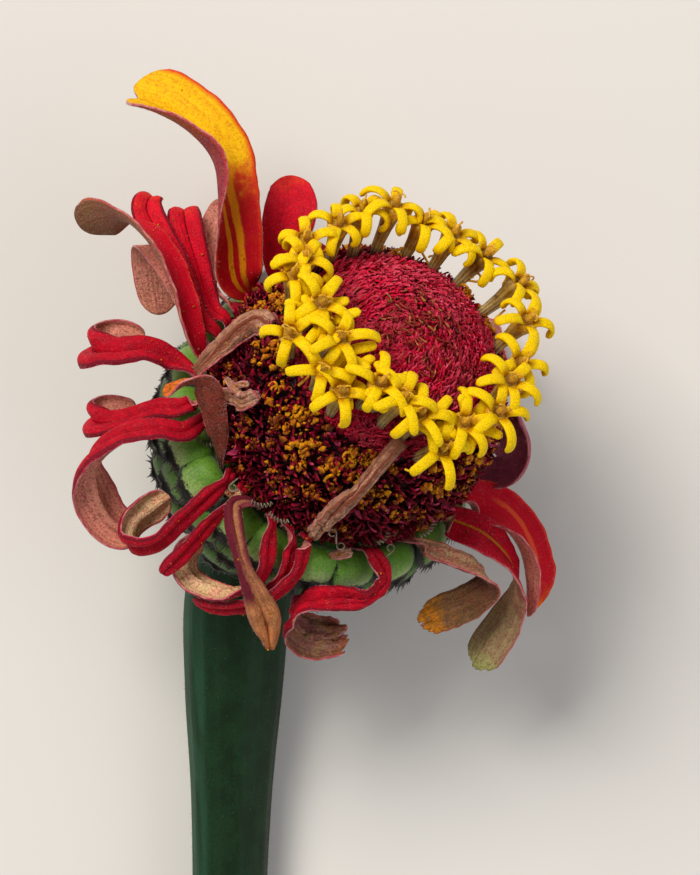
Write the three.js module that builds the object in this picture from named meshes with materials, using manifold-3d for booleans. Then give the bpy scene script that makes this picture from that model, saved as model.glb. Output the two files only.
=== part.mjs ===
// A fading zinnia flower, picked with a short stem and laid on its back.
// The head is a crimson cone of chaff with a ring of yellow disc florets round its top, a row of dried
// and curled ray petals round its rim, and a green cup of black-edged bracts under them, on a bent stem.
// Millimetres. +Z is up from the surface that the flower lies on, +Y runs from the cut end to the head.
import * as THREE from "three";
import { mergeVertices } from "three/addons/utils/BufferGeometryUtils.js";
import Module from "manifold-3d";

const wasm = await Module();
wasm.setup();

// The head: its axis leans from the vertical towards an azimuth counted from +X
const HEAD_LEAN = 34;
const HEAD_AZIMUTH = 47;
const RIM_HEIGHT = 17;

// The cone of chaff, in distances along the head's axis from its rim
const CONE_FOOT = -1.2;
const CONE_FOOT_RADIUS = 10.2;
const CONE_RADIUS = 11.6;
const CONE_WIDEST = 4.5;
const CONE_TOP = 17.5;
const CHAFF_COUNT = 130;
const CHAFF_FOOT = 0.6;
const CHAFF_LENGTH = 1.7;
const CHAFF_WIDTH = 2.3;
const CHAFF_RISE = 0.9;
const CHAFF_ROOT = 0.6;
const FLORET_CLEARANCE = 1.8;

// The open disc florets: the way each one stands round the head, how far along the axis its foot is
// and how far it leans out
const FLORETS = [
  [2, 12, 25], [16, 12.2, 20], [31, 11.9, 20], [47, 11.9, 27], [60, 12.2, 32], [73, 12, 22],
  [88, 11.7, 23], [101, 11.9, 14], [113, 12.2, 19], [126, 13.2, 2], [139, 12.4, 22],
  [147, 14.2, 3], [160, 13.2, 17], [176, 13.1, 12], [186, 14.6, 2], [203, 14.3, 0],
  [217, 13.8, 0], [230, 12.6, 15], [245, 13.5, 4], [262, 13.0, 6], [281, 13.3, 0],
  [300, 12.8, 3], [322, 12.4, 12], [343, 12.1, 28],
];
const FLORET_TUBE_LENGTH = 5.2;
const FLORET_FOOT_RADIUS = 0.5;
const FLORET_MOUTH_RADIUS = 0.9;
const LOBE_COUNT = 5;
const LOBE_THICKNESS = 0.6;

// Stations along a lobe: how far out and up from the mouth, and the width
const LOBE_ARCH = [[1.6, 0.5, 0.95], [2.6, -0.4, 0.75]];

// The cup of bracts
const CUP_FOOT = -11;
const CUP_FOOT_RADIUS = 5;
const CUP_TOP = -1.5;
const CUP_TOP_RADIUS = 12.1;
const BRACT_THICKNESS = 0.9;

// The ray petals
const PETAL_THICKNESS = 0.6;
const CLAW_RADIUS = 11.35;
const CLAW_FOOT = -0.85;
const CLAW_WIDTH = 0.9;

const SEAT_GAP = 0.3;

// How far the skin of a fused piece may move to lose slivers where its parts cross
const FUSING_SLACK = 0.08;

const radians = THREE.MathUtils.degToRad;
const vector = (x, y, z) => new THREE.Vector3(x, y, z);

// Axis of the head, and two directions square to it: away faces up the photograph and down to the
// surface, across faces left
const leanSide = vector(Math.cos(radians(HEAD_AZIMUTH)), Math.sin(radians(HEAD_AZIMUTH)), 0);
const axis = leanSide.clone().multiplyScalar(Math.sin(radians(HEAD_LEAN)))
  .add(vector(0, 0, Math.cos(radians(HEAD_LEAN))));
const away = leanSide.clone().multiplyScalar(Math.cos(radians(HEAD_LEAN)))
  .add(vector(0, 0, -Math.sin(radians(HEAD_LEAN))));
const across = vector(-leanSide.y, leanSide.x, 0);
const rimCentre = vector(0, 0, RIM_HEIGHT);

// A number from 0 to 1 that only depends on the whole numbers given
function draw(index, kind) {
  const wave = Math.sin(index * 12.9898 + kind * 78.233) * 43758.5453;
  return wave - Math.floor(wave);
}

function radial(angle) {
  return away.clone().multiplyScalar(Math.cos(radians(angle)))
    .addScaledVector(across, Math.sin(radians(angle)));
}

// The point at an angle round the head, a radius from its axis and a distance along it
function onHead(angle, radius, along) {
  return rimCentre.clone().addScaledVector(axis, along).addScaledVector(radial(angle), radius);
}

// A smooth curve through rows of numbers, as rows at even steps
function smoothRows(rows, stepsPerSpan) {
  const made = [];
  const last = rows.length - 1;
  for (let k = 0; k <= last * stepsPerSpan; k++) {
    const span = Math.min(Math.floor(k / stepsPerSpan), last - 1);
    const t = k / stepsPerSpan - span;
    const b = rows[span];
    const c = rows[span + 1];
    const a = rows[span - 1] ?? b.map((value, i) => 2 * value - c[i]);
    const d = rows[span + 2] ?? c.map((value, i) => 2 * value - b[i]);
    made.push(b.map((_, i) => b[i] + 0.5 * t * (c[i] - a[i]
      + t * (2 * a[i] - 5 * b[i] + 4 * c[i] - d[i] + t * (3 * (b[i] - c[i]) + d[i] - a[i])))));
  }
  return made;
}

function geometryOf(points, triangles) {
  const geometry = new THREE.BufferGeometry();
  geometry.setAttribute("position", new THREE.Float32BufferAttribute(points.flatMap((p) => p.toArray()), 3));
  geometry.setIndex(triangles);
  return geometry;
}

// A closed skin over rings of equal count, with a fan over each end
function tubeGeometry(rings) {
  const sides = rings[0].length;
  const points = rings.flat();
  const triangles = [];
  for (let k = 0; k < rings.length - 1; k++) {
    for (let i = 0; i < sides; i++) {
      const next = (i + 1) % sides;
      const a = k * sides + i;
      const b = k * sides + next;
      triangles.push(a, b, b + sides, a, b + sides, a + sides);
    }
  }
  const end = (rings.length - 1) * sides;
  for (let i = 1; i < sides - 1; i++) {
    triangles.push(0, i + 1, i);
    triangles.push(end, end + i, end + i + 1);
  }
  return geometryOf(points, triangles);
}

// A thin blade between two faces, each a grid of points that matches the other
function bladeGeometry(front, back) {
  const columns = front[0].length;
  const rows = front.length;
  const offset = rows * columns;
  const triangles = [];
  const quad = (a, b, c, d) => triangles.push(a, b, c, a, c, d);
  for (let k = 0; k < rows - 1; k++) {
    for (let i = 0; i < columns - 1; i++) {
      const a = k * columns + i;
      quad(a, a + 1, a + columns + 1, a + columns);
      triangles.push(offset + a, offset + a + columns + 1, offset + a + 1);
      triangles.push(offset + a, offset + a + columns, offset + a + columns + 1);
    }
  }
  for (let k = 0; k < rows - 1; k++) {
    const left = k * columns;
    const right = left + columns - 1;
    quad(left, left + columns, offset + left + columns, offset + left);
    quad(right, offset + right, offset + right + columns, right + columns);
  }
  for (let i = 0; i < columns - 1; i++) {
    const end = (rows - 1) * columns + i;
    quad(i, offset + i, offset + i + 1, i + 1);
    quad(end, end + 1, offset + end + 1, offset + end);
  }
  return geometryOf([...front.flat(), ...back.flat()], triangles);
}

// A blade along rows of [x, y, z, facing x, y, z, width, curl]. The facing is the way its upper face
// looks, the curl is the angle in degrees that its cross-section turns through, and crease is under 1
// where that turn gathers at the midrib.
function blade(rows, { steps = 2, cells = 4, thickness = PETAL_THICKNESS, crease = 1 } = {}) {
  const stations = smoothRows(rows, steps);
  const front = [];
  const back = [];
  stations.forEach((row, k) => {
    const before = stations[Math.max(k - 1, 0)];
    const after = stations[Math.min(k + 1, stations.length - 1)];
    const along = vector(after[0] - before[0], after[1] - before[1], after[2] - before[2]).normalize();
    const facing = vector(row[3], row[4], row[5]);
    facing.addScaledVector(along, -facing.dot(along)).normalize();
    const side = along.clone().cross(facing);
    const section = crossSection(row[6], row[7], cells, crease);
    front.push([]);
    back.push([]);
    for (const [sideways, up, turn] of section) {
      const point = vector(row[0], row[1], row[2]).addScaledVector(side, sideways).addScaledVector(facing, up);
      const normal = facing.clone().multiplyScalar(Math.cos(turn)).addScaledVector(side, -Math.sin(turn));
      front.at(-1).push(point.clone().addScaledVector(normal, thickness / 2));
      back.at(-1).push(point.clone().addScaledVector(normal, -thickness / 2));
    }
  });
  return bladeGeometry(front, back);
}

// Points [sideways, up, turn] across a blade of a width whose two halves turn up by half the curl
function crossSection(width, curl, cells, crease) {
  const fine = 6;
  const half = cells / 2;
  const step = width / 2 / (half * fine);
  const points = [[0, 0, 0]];
  let sideways = 0;
  let up = 0;
  for (let k = 1; k <= half * fine; k++) {
    const turn = radians(curl / 2) * ((k - 0.5) / (half * fine)) ** crease;
    sideways += step * Math.cos(turn);
    up += step * Math.sin(turn);
    if (k % fine === 0) {
      points.push([sideways, up, radians(curl / 2) * (k / (half * fine)) ** crease]);
    }
  }
  const mirrored = points.slice(1).reverse().map(([s, u, t]) => [-s, u, -t]);
  return [...mirrored, ...points];
}

function solidOf(geometry) {
  const merged = mergeVertices(geometry, 1e-4);
  return new wasm.Manifold(new wasm.Mesh({
    numProp: 3,
    vertProperties: new Float32Array(merged.attributes.position.array),
    triVerts: new Uint32Array(merged.index.array),
  }));
}

function geometryOfSolid(solid) {
  const mesh = solid.getMesh();
  const geometry = new THREE.BufferGeometry();
  const positions = new Float32Array(mesh.numVert * 3);
  for (let i = 0; i < mesh.numVert; i++) {
    positions.set(mesh.vertProperties.subarray(i * mesh.numProp, i * mesh.numProp + 3), i * 3);
  }
  geometry.setAttribute("position", new THREE.BufferAttribute(positions, 3));
  geometry.setIndex(new THREE.BufferAttribute(new Uint32Array(mesh.triVerts), 1));
  return geometry;
}

function fused(geometries) {
  return geometryOfSolid(wasm.Manifold.union(geometries.map(solidOf)).simplify(FUSING_SLACK));
}

const laidFlower = new THREE.Group();

function add(name, geometry, material) {
  const mesh = new THREE.Mesh(geometry, material);
  mesh.name = name;
  laidFlower.add(mesh);
}

const petalRed = new THREE.MeshStandardMaterial({ color: 0xc01030, roughness: 0.6, metalness: 0 });
const petalDried = new THREE.MeshStandardMaterial({ color: 0xa87850, roughness: 0.75, metalness: 0 });
const chaffCrimson = new THREE.MeshStandardMaterial({ color: 0x7a0c24, roughness: 0.8, metalness: 0 });
const floretYellow = new THREE.MeshStandardMaterial({ color: 0xf0c808, roughness: 0.6, metalness: 0 });
const bractGreen = new THREE.MeshStandardMaterial({ color: 0x3f6e14, roughness: 0.5, metalness: 0 });
const stemGreen = new THREE.MeshStandardMaterial({ color: 0x2c5a28, roughness: 0.55, metalness: 0 });

// The stem: rows of [x, y, z, radius] from under the cup to the cut end, which is square to +Y
const STEM_SIDES = 14;
const STEM_END = [-9.3, -50];
const STEM_END_RADIUS = 3.2;
const stemTop = onHead(0, 0, CUP_FOOT - SEAT_GAP);
const stemNeck = onHead(0, 0, CUP_FOOT - 2.2);
const stemRows = smoothRows([
  [...stemTop.toArray(), 4.6],
  [...stemNeck.toArray(), 3.9],
  [-6.9, -9.7, 5.1, 4.1],
  [-8.4, -15, 5.0, 4.6],
  [-8.8, -23, 4.6, 4.2],
  [-9.0, -32, 4.1, 3.65],
  [-9.2, -42, 3.6, 3.3],
  [...STEM_END, STEM_END_RADIUS, STEM_END_RADIUS],
], 2);

function stemGeometry() {
  const rings = stemRows.map((row, k) => {
    const before = stemRows[Math.max(k - 1, 0)];
    const after = stemRows[Math.min(k + 1, stemRows.length - 1)];
    let along = vector(after[0] - before[0], after[1] - before[1], after[2] - before[2]).normalize();
    if (k === 0) along = axis.clone().negate();
    if (k === stemRows.length - 1) along = vector(0, -1, 0);
    const side = vector(0, 0, 1).cross(along).normalize();
    const up = along.clone().cross(side);
    return Array.from({ length: STEM_SIDES }, (_, i) => {
      const angle = 2 * Math.PI * (i + 0.5) / STEM_SIDES;
      return vector(row[0], row[1], row[2])
        .addScaledVector(side, row[3] * Math.cos(angle)).addScaledVector(up, row[3] * Math.sin(angle));
    });
  });
  return tubeGeometry(rings);
}
add("stem", stemGeometry(), stemGreen);

// A solid turned about the head's axis from [radius, along] pairs that start and end on the axis
function turned(profile, sides) {
  const lathe = new THREE.LatheGeometry(profile.map(([r, h]) => new THREE.Vector2(r, h)), sides);
  lathe.deleteAttribute("normal");
  lathe.deleteAttribute("uv");
  const basis = new THREE.Matrix4().makeBasis(across, axis, away).setPosition(rimCentre);
  return lathe.applyMatrix4(basis);
}

// The bracts, in rows from the top of the cup down: each leans out of the cup and turns its tip outward
const BRACT_ROWS = [
  { count: 10, turn: 8, width: 6.4, profile: [[11.2, -6.4], [12.8, -4.0], [13.5, -2.8], [14.2, -3.7]] },
  { count: 10, turn: 26, width: 6.6, profile: [[10.4, -8.8], [12.9, -6.9], [13.8, -5.7], [14.5, -6.5]] },
  { count: 7, turn: 4, width: 7.0, profile: [[8.4, -9.7], [11.2, -9.7], [12.8, -8.6], [13.6, -9.1]] },
];
const BRACT_WIDTHS = [0.75, 1, 0.9, 0.4];

function bract(row, index) {
  const angle = row.turn + 360 * index / row.count + 5 * (draw(index, row.turn) - 0.5);
  const lift = 0.5 * (draw(index, row.turn + 1) - 0.5);
  const rows = row.profile.map(([r, h], k) => {
    const share = k / (row.profile.length - 1);
    const point = onHead(angle, r, h + lift * share);
    const before = row.profile[Math.max(k - 1, 0)];
    const after = row.profile[Math.min(k + 1, row.profile.length - 1)];
    const run = Math.hypot(after[0] - before[0], after[1] - before[1]);
    const inward = radial(angle).multiplyScalar(-(after[1] - before[1]) / run)
      .addScaledVector(axis, (after[0] - before[0]) / run);
    return [...point.toArray(), ...inward.toArray(), row.width * BRACT_WIDTHS[k], -55];
  });
  return blade(rows, { steps: 1, cells: 2, thickness: BRACT_THICKNESS });
}

const cup = turned([
  [0, CUP_FOOT], [CUP_FOOT_RADIUS, CUP_FOOT], [8.2, -10.4], [11.0, -8.9], [12.2, -6.8],
  [12.6, -4.0], [CUP_TOP_RADIUS, CUP_TOP], [0, CUP_TOP],
], 15);
const bracts = BRACT_ROWS.flatMap((row) => Array.from({ length: row.count }, (_, i) => bract(row, i)));
add("bract_cup", fused([cup, ...bracts]), bractGreen);

// Radius of the cone's bare surface at a distance along the axis
function coneRadius(along) {
  if (along < CONE_WIDEST) {
    const share = (CONE_WIDEST - along) / (CONE_WIDEST - CONE_FOOT);
    return CONE_RADIUS - (CONE_RADIUS - CONE_FOOT_RADIUS) * share * share;
  }
  const share = (along - CONE_WIDEST) / (CONE_TOP - CONE_WIDEST);
  return CONE_RADIUS * Math.sqrt(Math.max(0, 1 - share * share));
}

// Where a share of the way from the cone's foot to its top lies, with even steps over its surface
const coneSteps = 60;
const coneProfile = Array.from({ length: coneSteps + 1 }, (_, k) => {
  const along = CONE_FOOT + (CONE_TOP - CONE_FOOT) * Math.sin(Math.PI / 2 * k / coneSteps);
  return [coneRadius(along), along];
});
coneProfile[coneSteps][0] = 0;

function coneAreas() {
  const areas = [0];
  for (let k = 1; k <= coneSteps; k++) {
    const [r0, h0] = coneProfile[k - 1];
    const [r1, h1] = coneProfile[k];
    areas.push(areas[k - 1] + (r0 + r1) * Math.hypot(r1 - r0, h1 - h0));
  }
  return areas;
}

const areasUpTheCone = coneAreas();

function coneSpot(share) {
  const target = share * areasUpTheCone[coneSteps];
  const k = Math.max(1, areasUpTheCone.findIndex((area) => area >= target));
  const t = (target - areasUpTheCone[k - 1]) / (areasUpTheCone[k] - areasUpTheCone[k - 1]);
  const [r0, h0] = coneProfile[k - 1];
  const [r1, h1] = coneProfile[k];
  const run = Math.hypot(r1 - r0, h1 - h0);
  return { radius: r0 + t * (r1 - r0), along: h0 + t * (h1 - h0), slope: [(r1 - r0) / run, (h1 - h0) / run] };
}

const GOLDEN_ANGLE = 180 * (3 - Math.sqrt(5));

const floretSpots = FLORETS.map(([angle, along, lean], i) => ({
  angle,
  lean,
  foot: onHead(angle, coneRadius(along), along),
  swing: 10 * (draw(i, 4) - 0.5),
  length: FLORET_TUBE_LENGTH * (0.9 + 0.2 * draw(i, 5)),
  spin: 72 * draw(i, 9),
}));

// One scale of chaff: a pointed wedge that leans up the cone, with its root sunk in
function chaff(index) {
  const { radius, along, slope } = coneSpot((index + 0.5) / CHAFF_COUNT);
  const angle = index * GOLDEN_ANGLE;
  const spot = onHead(angle, radius, along);
  if (along < CHAFF_FOOT) return [];
  if (floretSpots.some((floret) => floret.foot.distanceTo(spot) < FLORET_CLEARANCE)) return [];
  const upSlope = radial(angle).multiplyScalar(slope[0]).addScaledVector(axis, slope[1]);
  const outward = radial(angle).multiplyScalar(slope[1]).addScaledVector(axis, -slope[0]);
  const sideways = outward.clone().cross(upSlope);
  const width = Math.min(CHAFF_WIDTH, 0.5 + 0.4 * radius);
  const corner = (across, up, out) => spot.clone().addScaledVector(sideways, across)
    .addScaledVector(upSlope, up).addScaledVector(outward, out);
  const corners = [
    corner(-width / 2, 0, -CHAFF_ROOT),
    corner(0, -width / 3, -CHAFF_ROOT),
    corner(width / 2, 0, -CHAFF_ROOT),
    corner(0, width / 3, -CHAFF_ROOT),
    corner(0.8 * (draw(index, 8) - 0.5), CHAFF_LENGTH, CHAFF_RISE * (0.7 + 0.5 * draw(index, 7))),
  ];
  return [geometryOf(corners, [1, 0, 4, 2, 1, 4, 3, 2, 4, 0, 3, 4, 0, 1, 2, 0, 2, 3])];
}

const cone = turned([[0, CONE_FOOT], ...coneProfile.filter((_, k) => k % 6 === 0)], 20);
const scales = Array.from({ length: CHAFF_COUNT }, (_, i) => chaff(i)).flat();
add("chaff_cone", fused([cone, ...scales]), chaffCrimson);

// One disc floret: a tube with five corners that widens to its mouth, where each side of it runs out
// into a lobe that arches over and hangs at its blunt tip
function floret({ angle, foot, lean, swing, length, spin }) {
  const out = radial(angle);
  const around = axis.clone().cross(out);
  const up = axis.clone().multiplyScalar(Math.cos(radians(lean))).addScaledVector(out, Math.sin(radians(lean)))
    .addScaledVector(around, Math.sin(radians(swing))).normalize();
  const side = up.clone().cross(out).normalize();
  const front = side.clone().cross(up);
  const place = (turn, reach, rise, sideways) => foot.clone().addScaledVector(up, rise)
    .addScaledVector(front, reach * Math.cos(turn) - sideways * Math.sin(turn))
    .addScaledVector(side, reach * Math.sin(turn) + sideways * Math.cos(turn));
  const turns = Array.from({ length: LOBE_COUNT }, (_, i) => radians(spin + 360 * i / LOBE_COUNT));
  const corner = radians(180 / LOBE_COUNT);
  const ring = (radius, rise) => turns.map((turn) => place(turn + corner, radius, rise, 0));
  const points = [
    ...ring(FLORET_FOOT_RADIUS, SEAT_GAP + 0.25),
    ...ring(FLORET_MOUTH_RADIUS, length),
    ...ring(FLORET_MOUTH_RADIUS, length + LOBE_THICKNESS),
  ];
  const triangles = [];
  const quad = (a, b, c, d) => triangles.push(a, b, c, a, c, d);
  for (let i = 1; i < LOBE_COUNT - 1; i++) {
    triangles.push(0, i + 1, i);
    triangles.push(2 * LOBE_COUNT, 2 * LOBE_COUNT + i, 2 * LOBE_COUNT + i + 1);
  }
  turns.forEach((turn, i) => {
    const before = (i + LOBE_COUNT - 1) % LOBE_COUNT;
    quad(before, i, LOBE_COUNT + i, LOBE_COUNT + before);
    let last = [LOBE_COUNT + before, LOBE_COUNT + i, 2 * LOBE_COUNT + i, 2 * LOBE_COUNT + before];
    for (const [reach, rise, width] of LOBE_ARCH) {
      const first = points.length;
      points.push(place(turn, reach, length + rise, -width / 2), place(turn, reach, length + rise, width / 2));
      points.push(place(turn, reach + 0.3 * rise, length + rise + LOBE_THICKNESS, width / 2));
      points.push(place(turn, reach + 0.3 * rise, length + rise + LOBE_THICKNESS, -width / 2));
      last.forEach((a, k) => quad(a, last[(k + 1) % 4], first + (k + 1) % 4, first + k));
      last = [first, first + 1, first + 2, first + 3];
    }
    quad(...last);
  });
  return geometryOf(points, triangles);
}
add("disc_florets", fused(floretSpots.map(floret)), floretYellow);

// Where every petal stands: two rows that start it up beside the cone
function clawRows(angle) {
  const inward = radial(angle).multiplyScalar(-0.85).addScaledVector(axis, 0.5);
  const foot = onHead(angle, CLAW_RADIUS, CLAW_FOOT);
  const knee = onHead(angle, CLAW_RADIUS + 1.0, CLAW_FOOT + 1.9);
  return [
    [...foot.toArray(), ...inward.toArray(), CLAW_WIDTH, 20],
    [...knee.toArray(), ...inward.toArray(), CLAW_WIDTH + 0.2, 40],
  ];
}

// The petals, in order round the rim, each with the angle of its claw and rows for blade() from there
// to its tip
const PETALS = [
  {
    name: "petal_01_behind_dome", cells: 2, claw: 60, rows: [
      [-4.6, 12.8, 15.4, 0, -0.3, 0.95, 2.6, 30],
      [-4.2, 15.6, 16.0, 0.05, -0.15, 1, 4.2, 35],
      [-3.7, 18.2, 15.7, 0.05, 0.1, 1, 4.4, 35],
      [-3.9, 20.6, 14.4, 0, 0.5, 0.87, 2.6, 30],
    ],
  },
  {
    name: "petal_02_arched", claw: 78, crease: 0.6, rows: [
      [-8.0, 12.0, 18.4, 0.15, -0.35, 0.9, 3.9, 60],
      [-8.4, 15.4, 20.0, 0.45, -0.2, 0.85, 4.8, 80],
      [-9.2, 18.6, 21.0, 0.8, -0.1, 0.6, 6.2, 120],
      [-9.9, 21.6, 21.4, 0.87, 0.15, 0.45, 7.0, 140],
      [-11.5, 23.8, 21.4, 0.65, 0.55, 0.52, 7.0, 140],
      [-14.2, 25.6, 21.0, 0.35, 0.75, 0.56, 6.2, 130],
      [-17.4, 26.9, 20.4, 0.25, 0.78, 0.58, 4.6, 110],
    ],
  },
  {
    name: "petal_03_behind_arch", cells: 2, claw: 86.5, rows: [
      [-9.9, 10.8, 16.6, 0.9, -0.1, 0.2, 1.8, 20],
      [-10.2, 13.6, 16.0, 0.5, 0.2, -0.8, 2.6, 30],
      [-9.9, 16.4, 15.0, 0, 0.3, -0.9, 2.8, 30],
      [-9.3, 18.6, 13.4, 0, 0.4, -0.9, 1.8, 30],
    ],
  },
  {
    name: "petal_04_blunt", cells: 2, claw: 94, rows: [
      [-10.4, 9.6, 17.7, 0.1, -0.35, 0.93, 1.7, 30],
      [-11.6, 13.2, 17.8, 0.1, -0.25, 0.97, 2.4, 40],
      [-12.5, 16.2, 17.4, 0, 0.1, 1, 3.0, 40],
      [-12.7, 17.5, 16.4, 0, 0.75, 0.65, 2.6, 40],
      [-12.7, 17.2, 15.2, 0, 0.9, -0.4, 1.8, 30],
    ],
  },
  {
    name: "petal_05_hooked", cells: 2, claw: 101.5, rows: [
      [-11.4, 8.8, 19.1, 0.3, -0.3, 0.9, 1.6, 30],
      [-13.0, 12.6, 19.0, 0.3, -0.1, 0.95, 2.1, 50],
      [-14.9, 15.8, 18.3, 0.2, 0, 1, 2.6, 60],
      [-15.8, 17.6, 17.5, 0.1, 0.3, 0.95, 2.8, 60],
      [-15.5, 18.6, 16.6, 0.2, 0.9, 0.3, 2.2, 50],
      [-15.0, 18.2, 15.8, 0.3, 0.8, -0.5, 1.6, 40],
    ],
  },
  {
    name: "petal_06_drooping", cells: 2, claw: 109, rows: [
      [-12.6, 8.6, 17.4, 0.2, -0.2, 0.95, 2.0, 30],
      [-14.6, 12.4, 16.6, 0, 0.1, 1, 3.0, 30],
      [-15.6, 14.6, 15.0, 0, 0.8, 0.6, 3.4, 30],
      [-15.5, 13.6, 13.2, 0, 0.8, -0.6, 3.6, 30],
      [-15.1, 11.0, 12.0, 0, 0.35, -0.93, 3.6, 35],
      [-14.9, 9.0, 11.4, 0, 0.2, -0.98, 2.4, 30],
    ],
  },
  {
    name: "petal_07_flag", claw: 116.5, rows: [
      [-11.9, 7.0, 21.8, 0.75, 0.1, 0.65, 2.6, 70],
      [-13.2, 11.0, 21.9, 0.8, 0.15, 0.58, 3.2, 80],
      [-14.9, 14.4, 21.5, 0.75, 0.45, 0.45, 3.6, 80],
      [-17.3, 16.6, 20.6, 0.5, 0.85, 0.05, 3.9, 60],
      [-19.6, 16.9, 19.3, 0.1, 0.75, -0.65, 4.4, 50],
      [-21.3, 16.4, 18.2, -0.2, 0.6, -0.8, 3.2, 40],
    ],
  },
  {
    name: "petal_08_looped", claw: 125, rows: [
      [-13.2, 4.6, 20.6, 0.3, 0.6, 0.75, 2.2, 50],
      [-15.6, 5.6, 20.8, 0.05, 0.7, 0.7, 3.0, 60],
      [-18.2, 5.3, 20.3, -0.1, 0.75, 0.65, 3.6, 60],
      [-19.9, 5.6, 18.9, -0.75, 0.5, 0.45, 3.8, 60],
      [-19.6, 6.5, 17.2, -0.8, 0.2, -0.55, 3.4, 50],
      [-17.8, 7.0, 16.6, -0.1, 0.2, -0.95, 2.8, 40],
      [-16.0, 6.6, 16.6, 0, 0.1, -1, 1.8, 30],
    ],
  },
  {
    name: "petal_09_tucked", cells: 2, claw: 131.5, rows: [
      [-12.8, 0.9, 21.6, 0.2, 0.6, 0.75, 2.0, 40],
      [-14.8, 0.7, 21.0, 0.1, 0.75, 0.65, 2.4, 50],
      [-17.2, -0.2, 20.2, 0, 0.8, 0.6, 2.8, 50],
      [-19.4, -0.5, 19.2, -0.6, 0.6, 0.5, 3.0, 50],
      [-20.0, 0.3, 17.6, -0.9, 0.2, -0.3, 3.0, 50],
      [-18.6, 0.8, 16.8, -0.3, 0.1, -0.95, 2.6, 40],
      [-16.6, 0.7, 16.6, 0, 0, -1, 1.8, 30],
    ],
  },
  {
    name: "petal_10_wide_bow", claw: 139, rows: [
      [-12.4, -1.1, 23.6, 0.1, 0.6, 0.8, 2.0, 50],
      [-14.8, -1.1, 24.0, 0, 0.8, 0.6, 2.8, 70],
      [-17.6, -1.9, 23.4, -0.2, 0.85, 0.45, 3.6, 70],
      [-19.7, -3.8, 22.2, -0.75, 0.55, 0.0, 4.2, 60],
      [-19.7, -6.4, 20.8, -0.6, 0.15, -0.75, 4.4, 50],
      [-18.4, -8.6, 19.8, -0.4, -0.2, -0.9, 4.0, 40],
      [-16.3, -9.6, 19.2, -0.2, -0.3, -0.93, 2.8, 30],
    ],
  },
  {
    name: "petal_11_raised", cells: 2, claw: 157, rows: [
      [-9.6, -1.4, 26.4, 0.35, 0.45, -0.8, 1.8, 40],
      [-10.0, 0.9, 27.8, 0.3, 0.4, -0.85, 2.4, 50],
      [-10.6, 2.6, 28.6, 0.2, 0.6, -0.7, 2.6, 50],
      [-11.9, 3.0, 28.7, 0.1, 0.95, 0.1, 2.4, 50],
      [-14.0, 2.1, 28.0, 0.1, 0.6, 0.75, 1.4, 40],
    ],
  },
  {
    name: "petal_12_folded_back", cells: 2, claw: 164.5, rows: [
      [-10.3, -6.0, 24.3, 0.35, -0.5, 0.8, 1.8, 50],
      [-12.6, -7.9, 24.2, 0.45, -0.6, 0.65, 2.2, 60],
      [-14.8, -9.7, 23.6, 0.4, -0.75, 0.5, 2.8, 60],
      [-16.6, -9.9, 22.6, -0.45, -0.75, 0.3, 3.2, 50],
      [-16.4, -8.6, 21.8, -0.75, 0.3, -0.6, 3.4, 40],
      [-14.9, -7.3, 21.5, -0.5, 0.3, -0.8, 3.0, 30],
      [-13.7, -6.4, 21.4, -0.3, 0.2, -0.93, 1.8, 30],
    ],
  },
  {
    name: "petal_13_strap", cells: 2, claw: 172, rows: [
      [-10.0, -8.0, 23.4, 0.5, -0.5, 0.7, 1.5, 40],
      [-11.9, -10.1, 23.0, 0.5, -0.5, 0.7, 1.9, 50],
      [-13.5, -11.7, 23.2, 0.5, -0.5, 0.7, 2.0, 50],
      [-14.4, -12.6, 22.9, 0.4, -0.5, 0.7, 1.4, 40],
    ],
  },
  {
    name: "petal_14_rolled", claw: 179.5, dried: true, rows: [
      [-7.9, -7.9, 25.6, 0, 0.3, 0.95, 2.0, 100],
      [-8.0, -9.8, 26.6, 0.1, 0.1, 1, 2.6, 170],
      [-7.4, -12.6, 26.4, 0.1, -0.1, 1, 2.4, 180],
      [-6.6, -15.4, 25.4, 0.1, -0.2, 1, 3.2, 150],
      [-5.8, -17.6, 24.2, 0.1, -0.3, 0.95, 3.6, 110],
      [-5.2, -19.0, 23.4, 0, -0.3, 0.95, 1.6, 60],
    ],
  },
  {
    name: "petal_15_hook", cells: 2, claw: 188, rows: [
      [-5.6, -9.8, 24.7, 0.7, -0.2, 0.65, 1.8, 50],
      [-6.0, -12.0, 24.2, 0.8, -0.4, 0.45, 2.2, 60],
      [-7.4, -13.7, 23.2, 0.4, -0.9, 0.2, 2.6, 60],
      [-9.8, -13.9, 22.3, -0.1, -0.85, -0.5, 3.0, 50],
      [-11.9, -12.9, 21.2, -0.6, -0.5, -0.6, 3.2, 40],
      [-12.2, -11.2, 21.3, -0.7, 0.1, -0.7, 3.0, 40],
      [-11.2, -9.9, 21.7, -0.4, 0.5, -0.75, 2.0, 30],
    ],
  },
  {
    name: "petal_16_inner_bow", cells: 2, claw: 196, rows: [
      [-3.8, -10.6, 23.7, 0.7, -0.3, 0.65, 1.3, 40],
      [-4.4, -12.5, 23.1, 0.75, -0.5, 0.5, 1.6, 50],
      [-5.9, -14.0, 21.4, 0.6, -0.7, 0.45, 1.8, 50],
      [-7.2, -15.0, 19.7, 0.3, -0.85, 0.5, 1.8, 40],
      [-8.2, -15.9, 18.1, 0.1, -0.85, 0.5, 1.3, 30],
    ],
  },
  {
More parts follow.
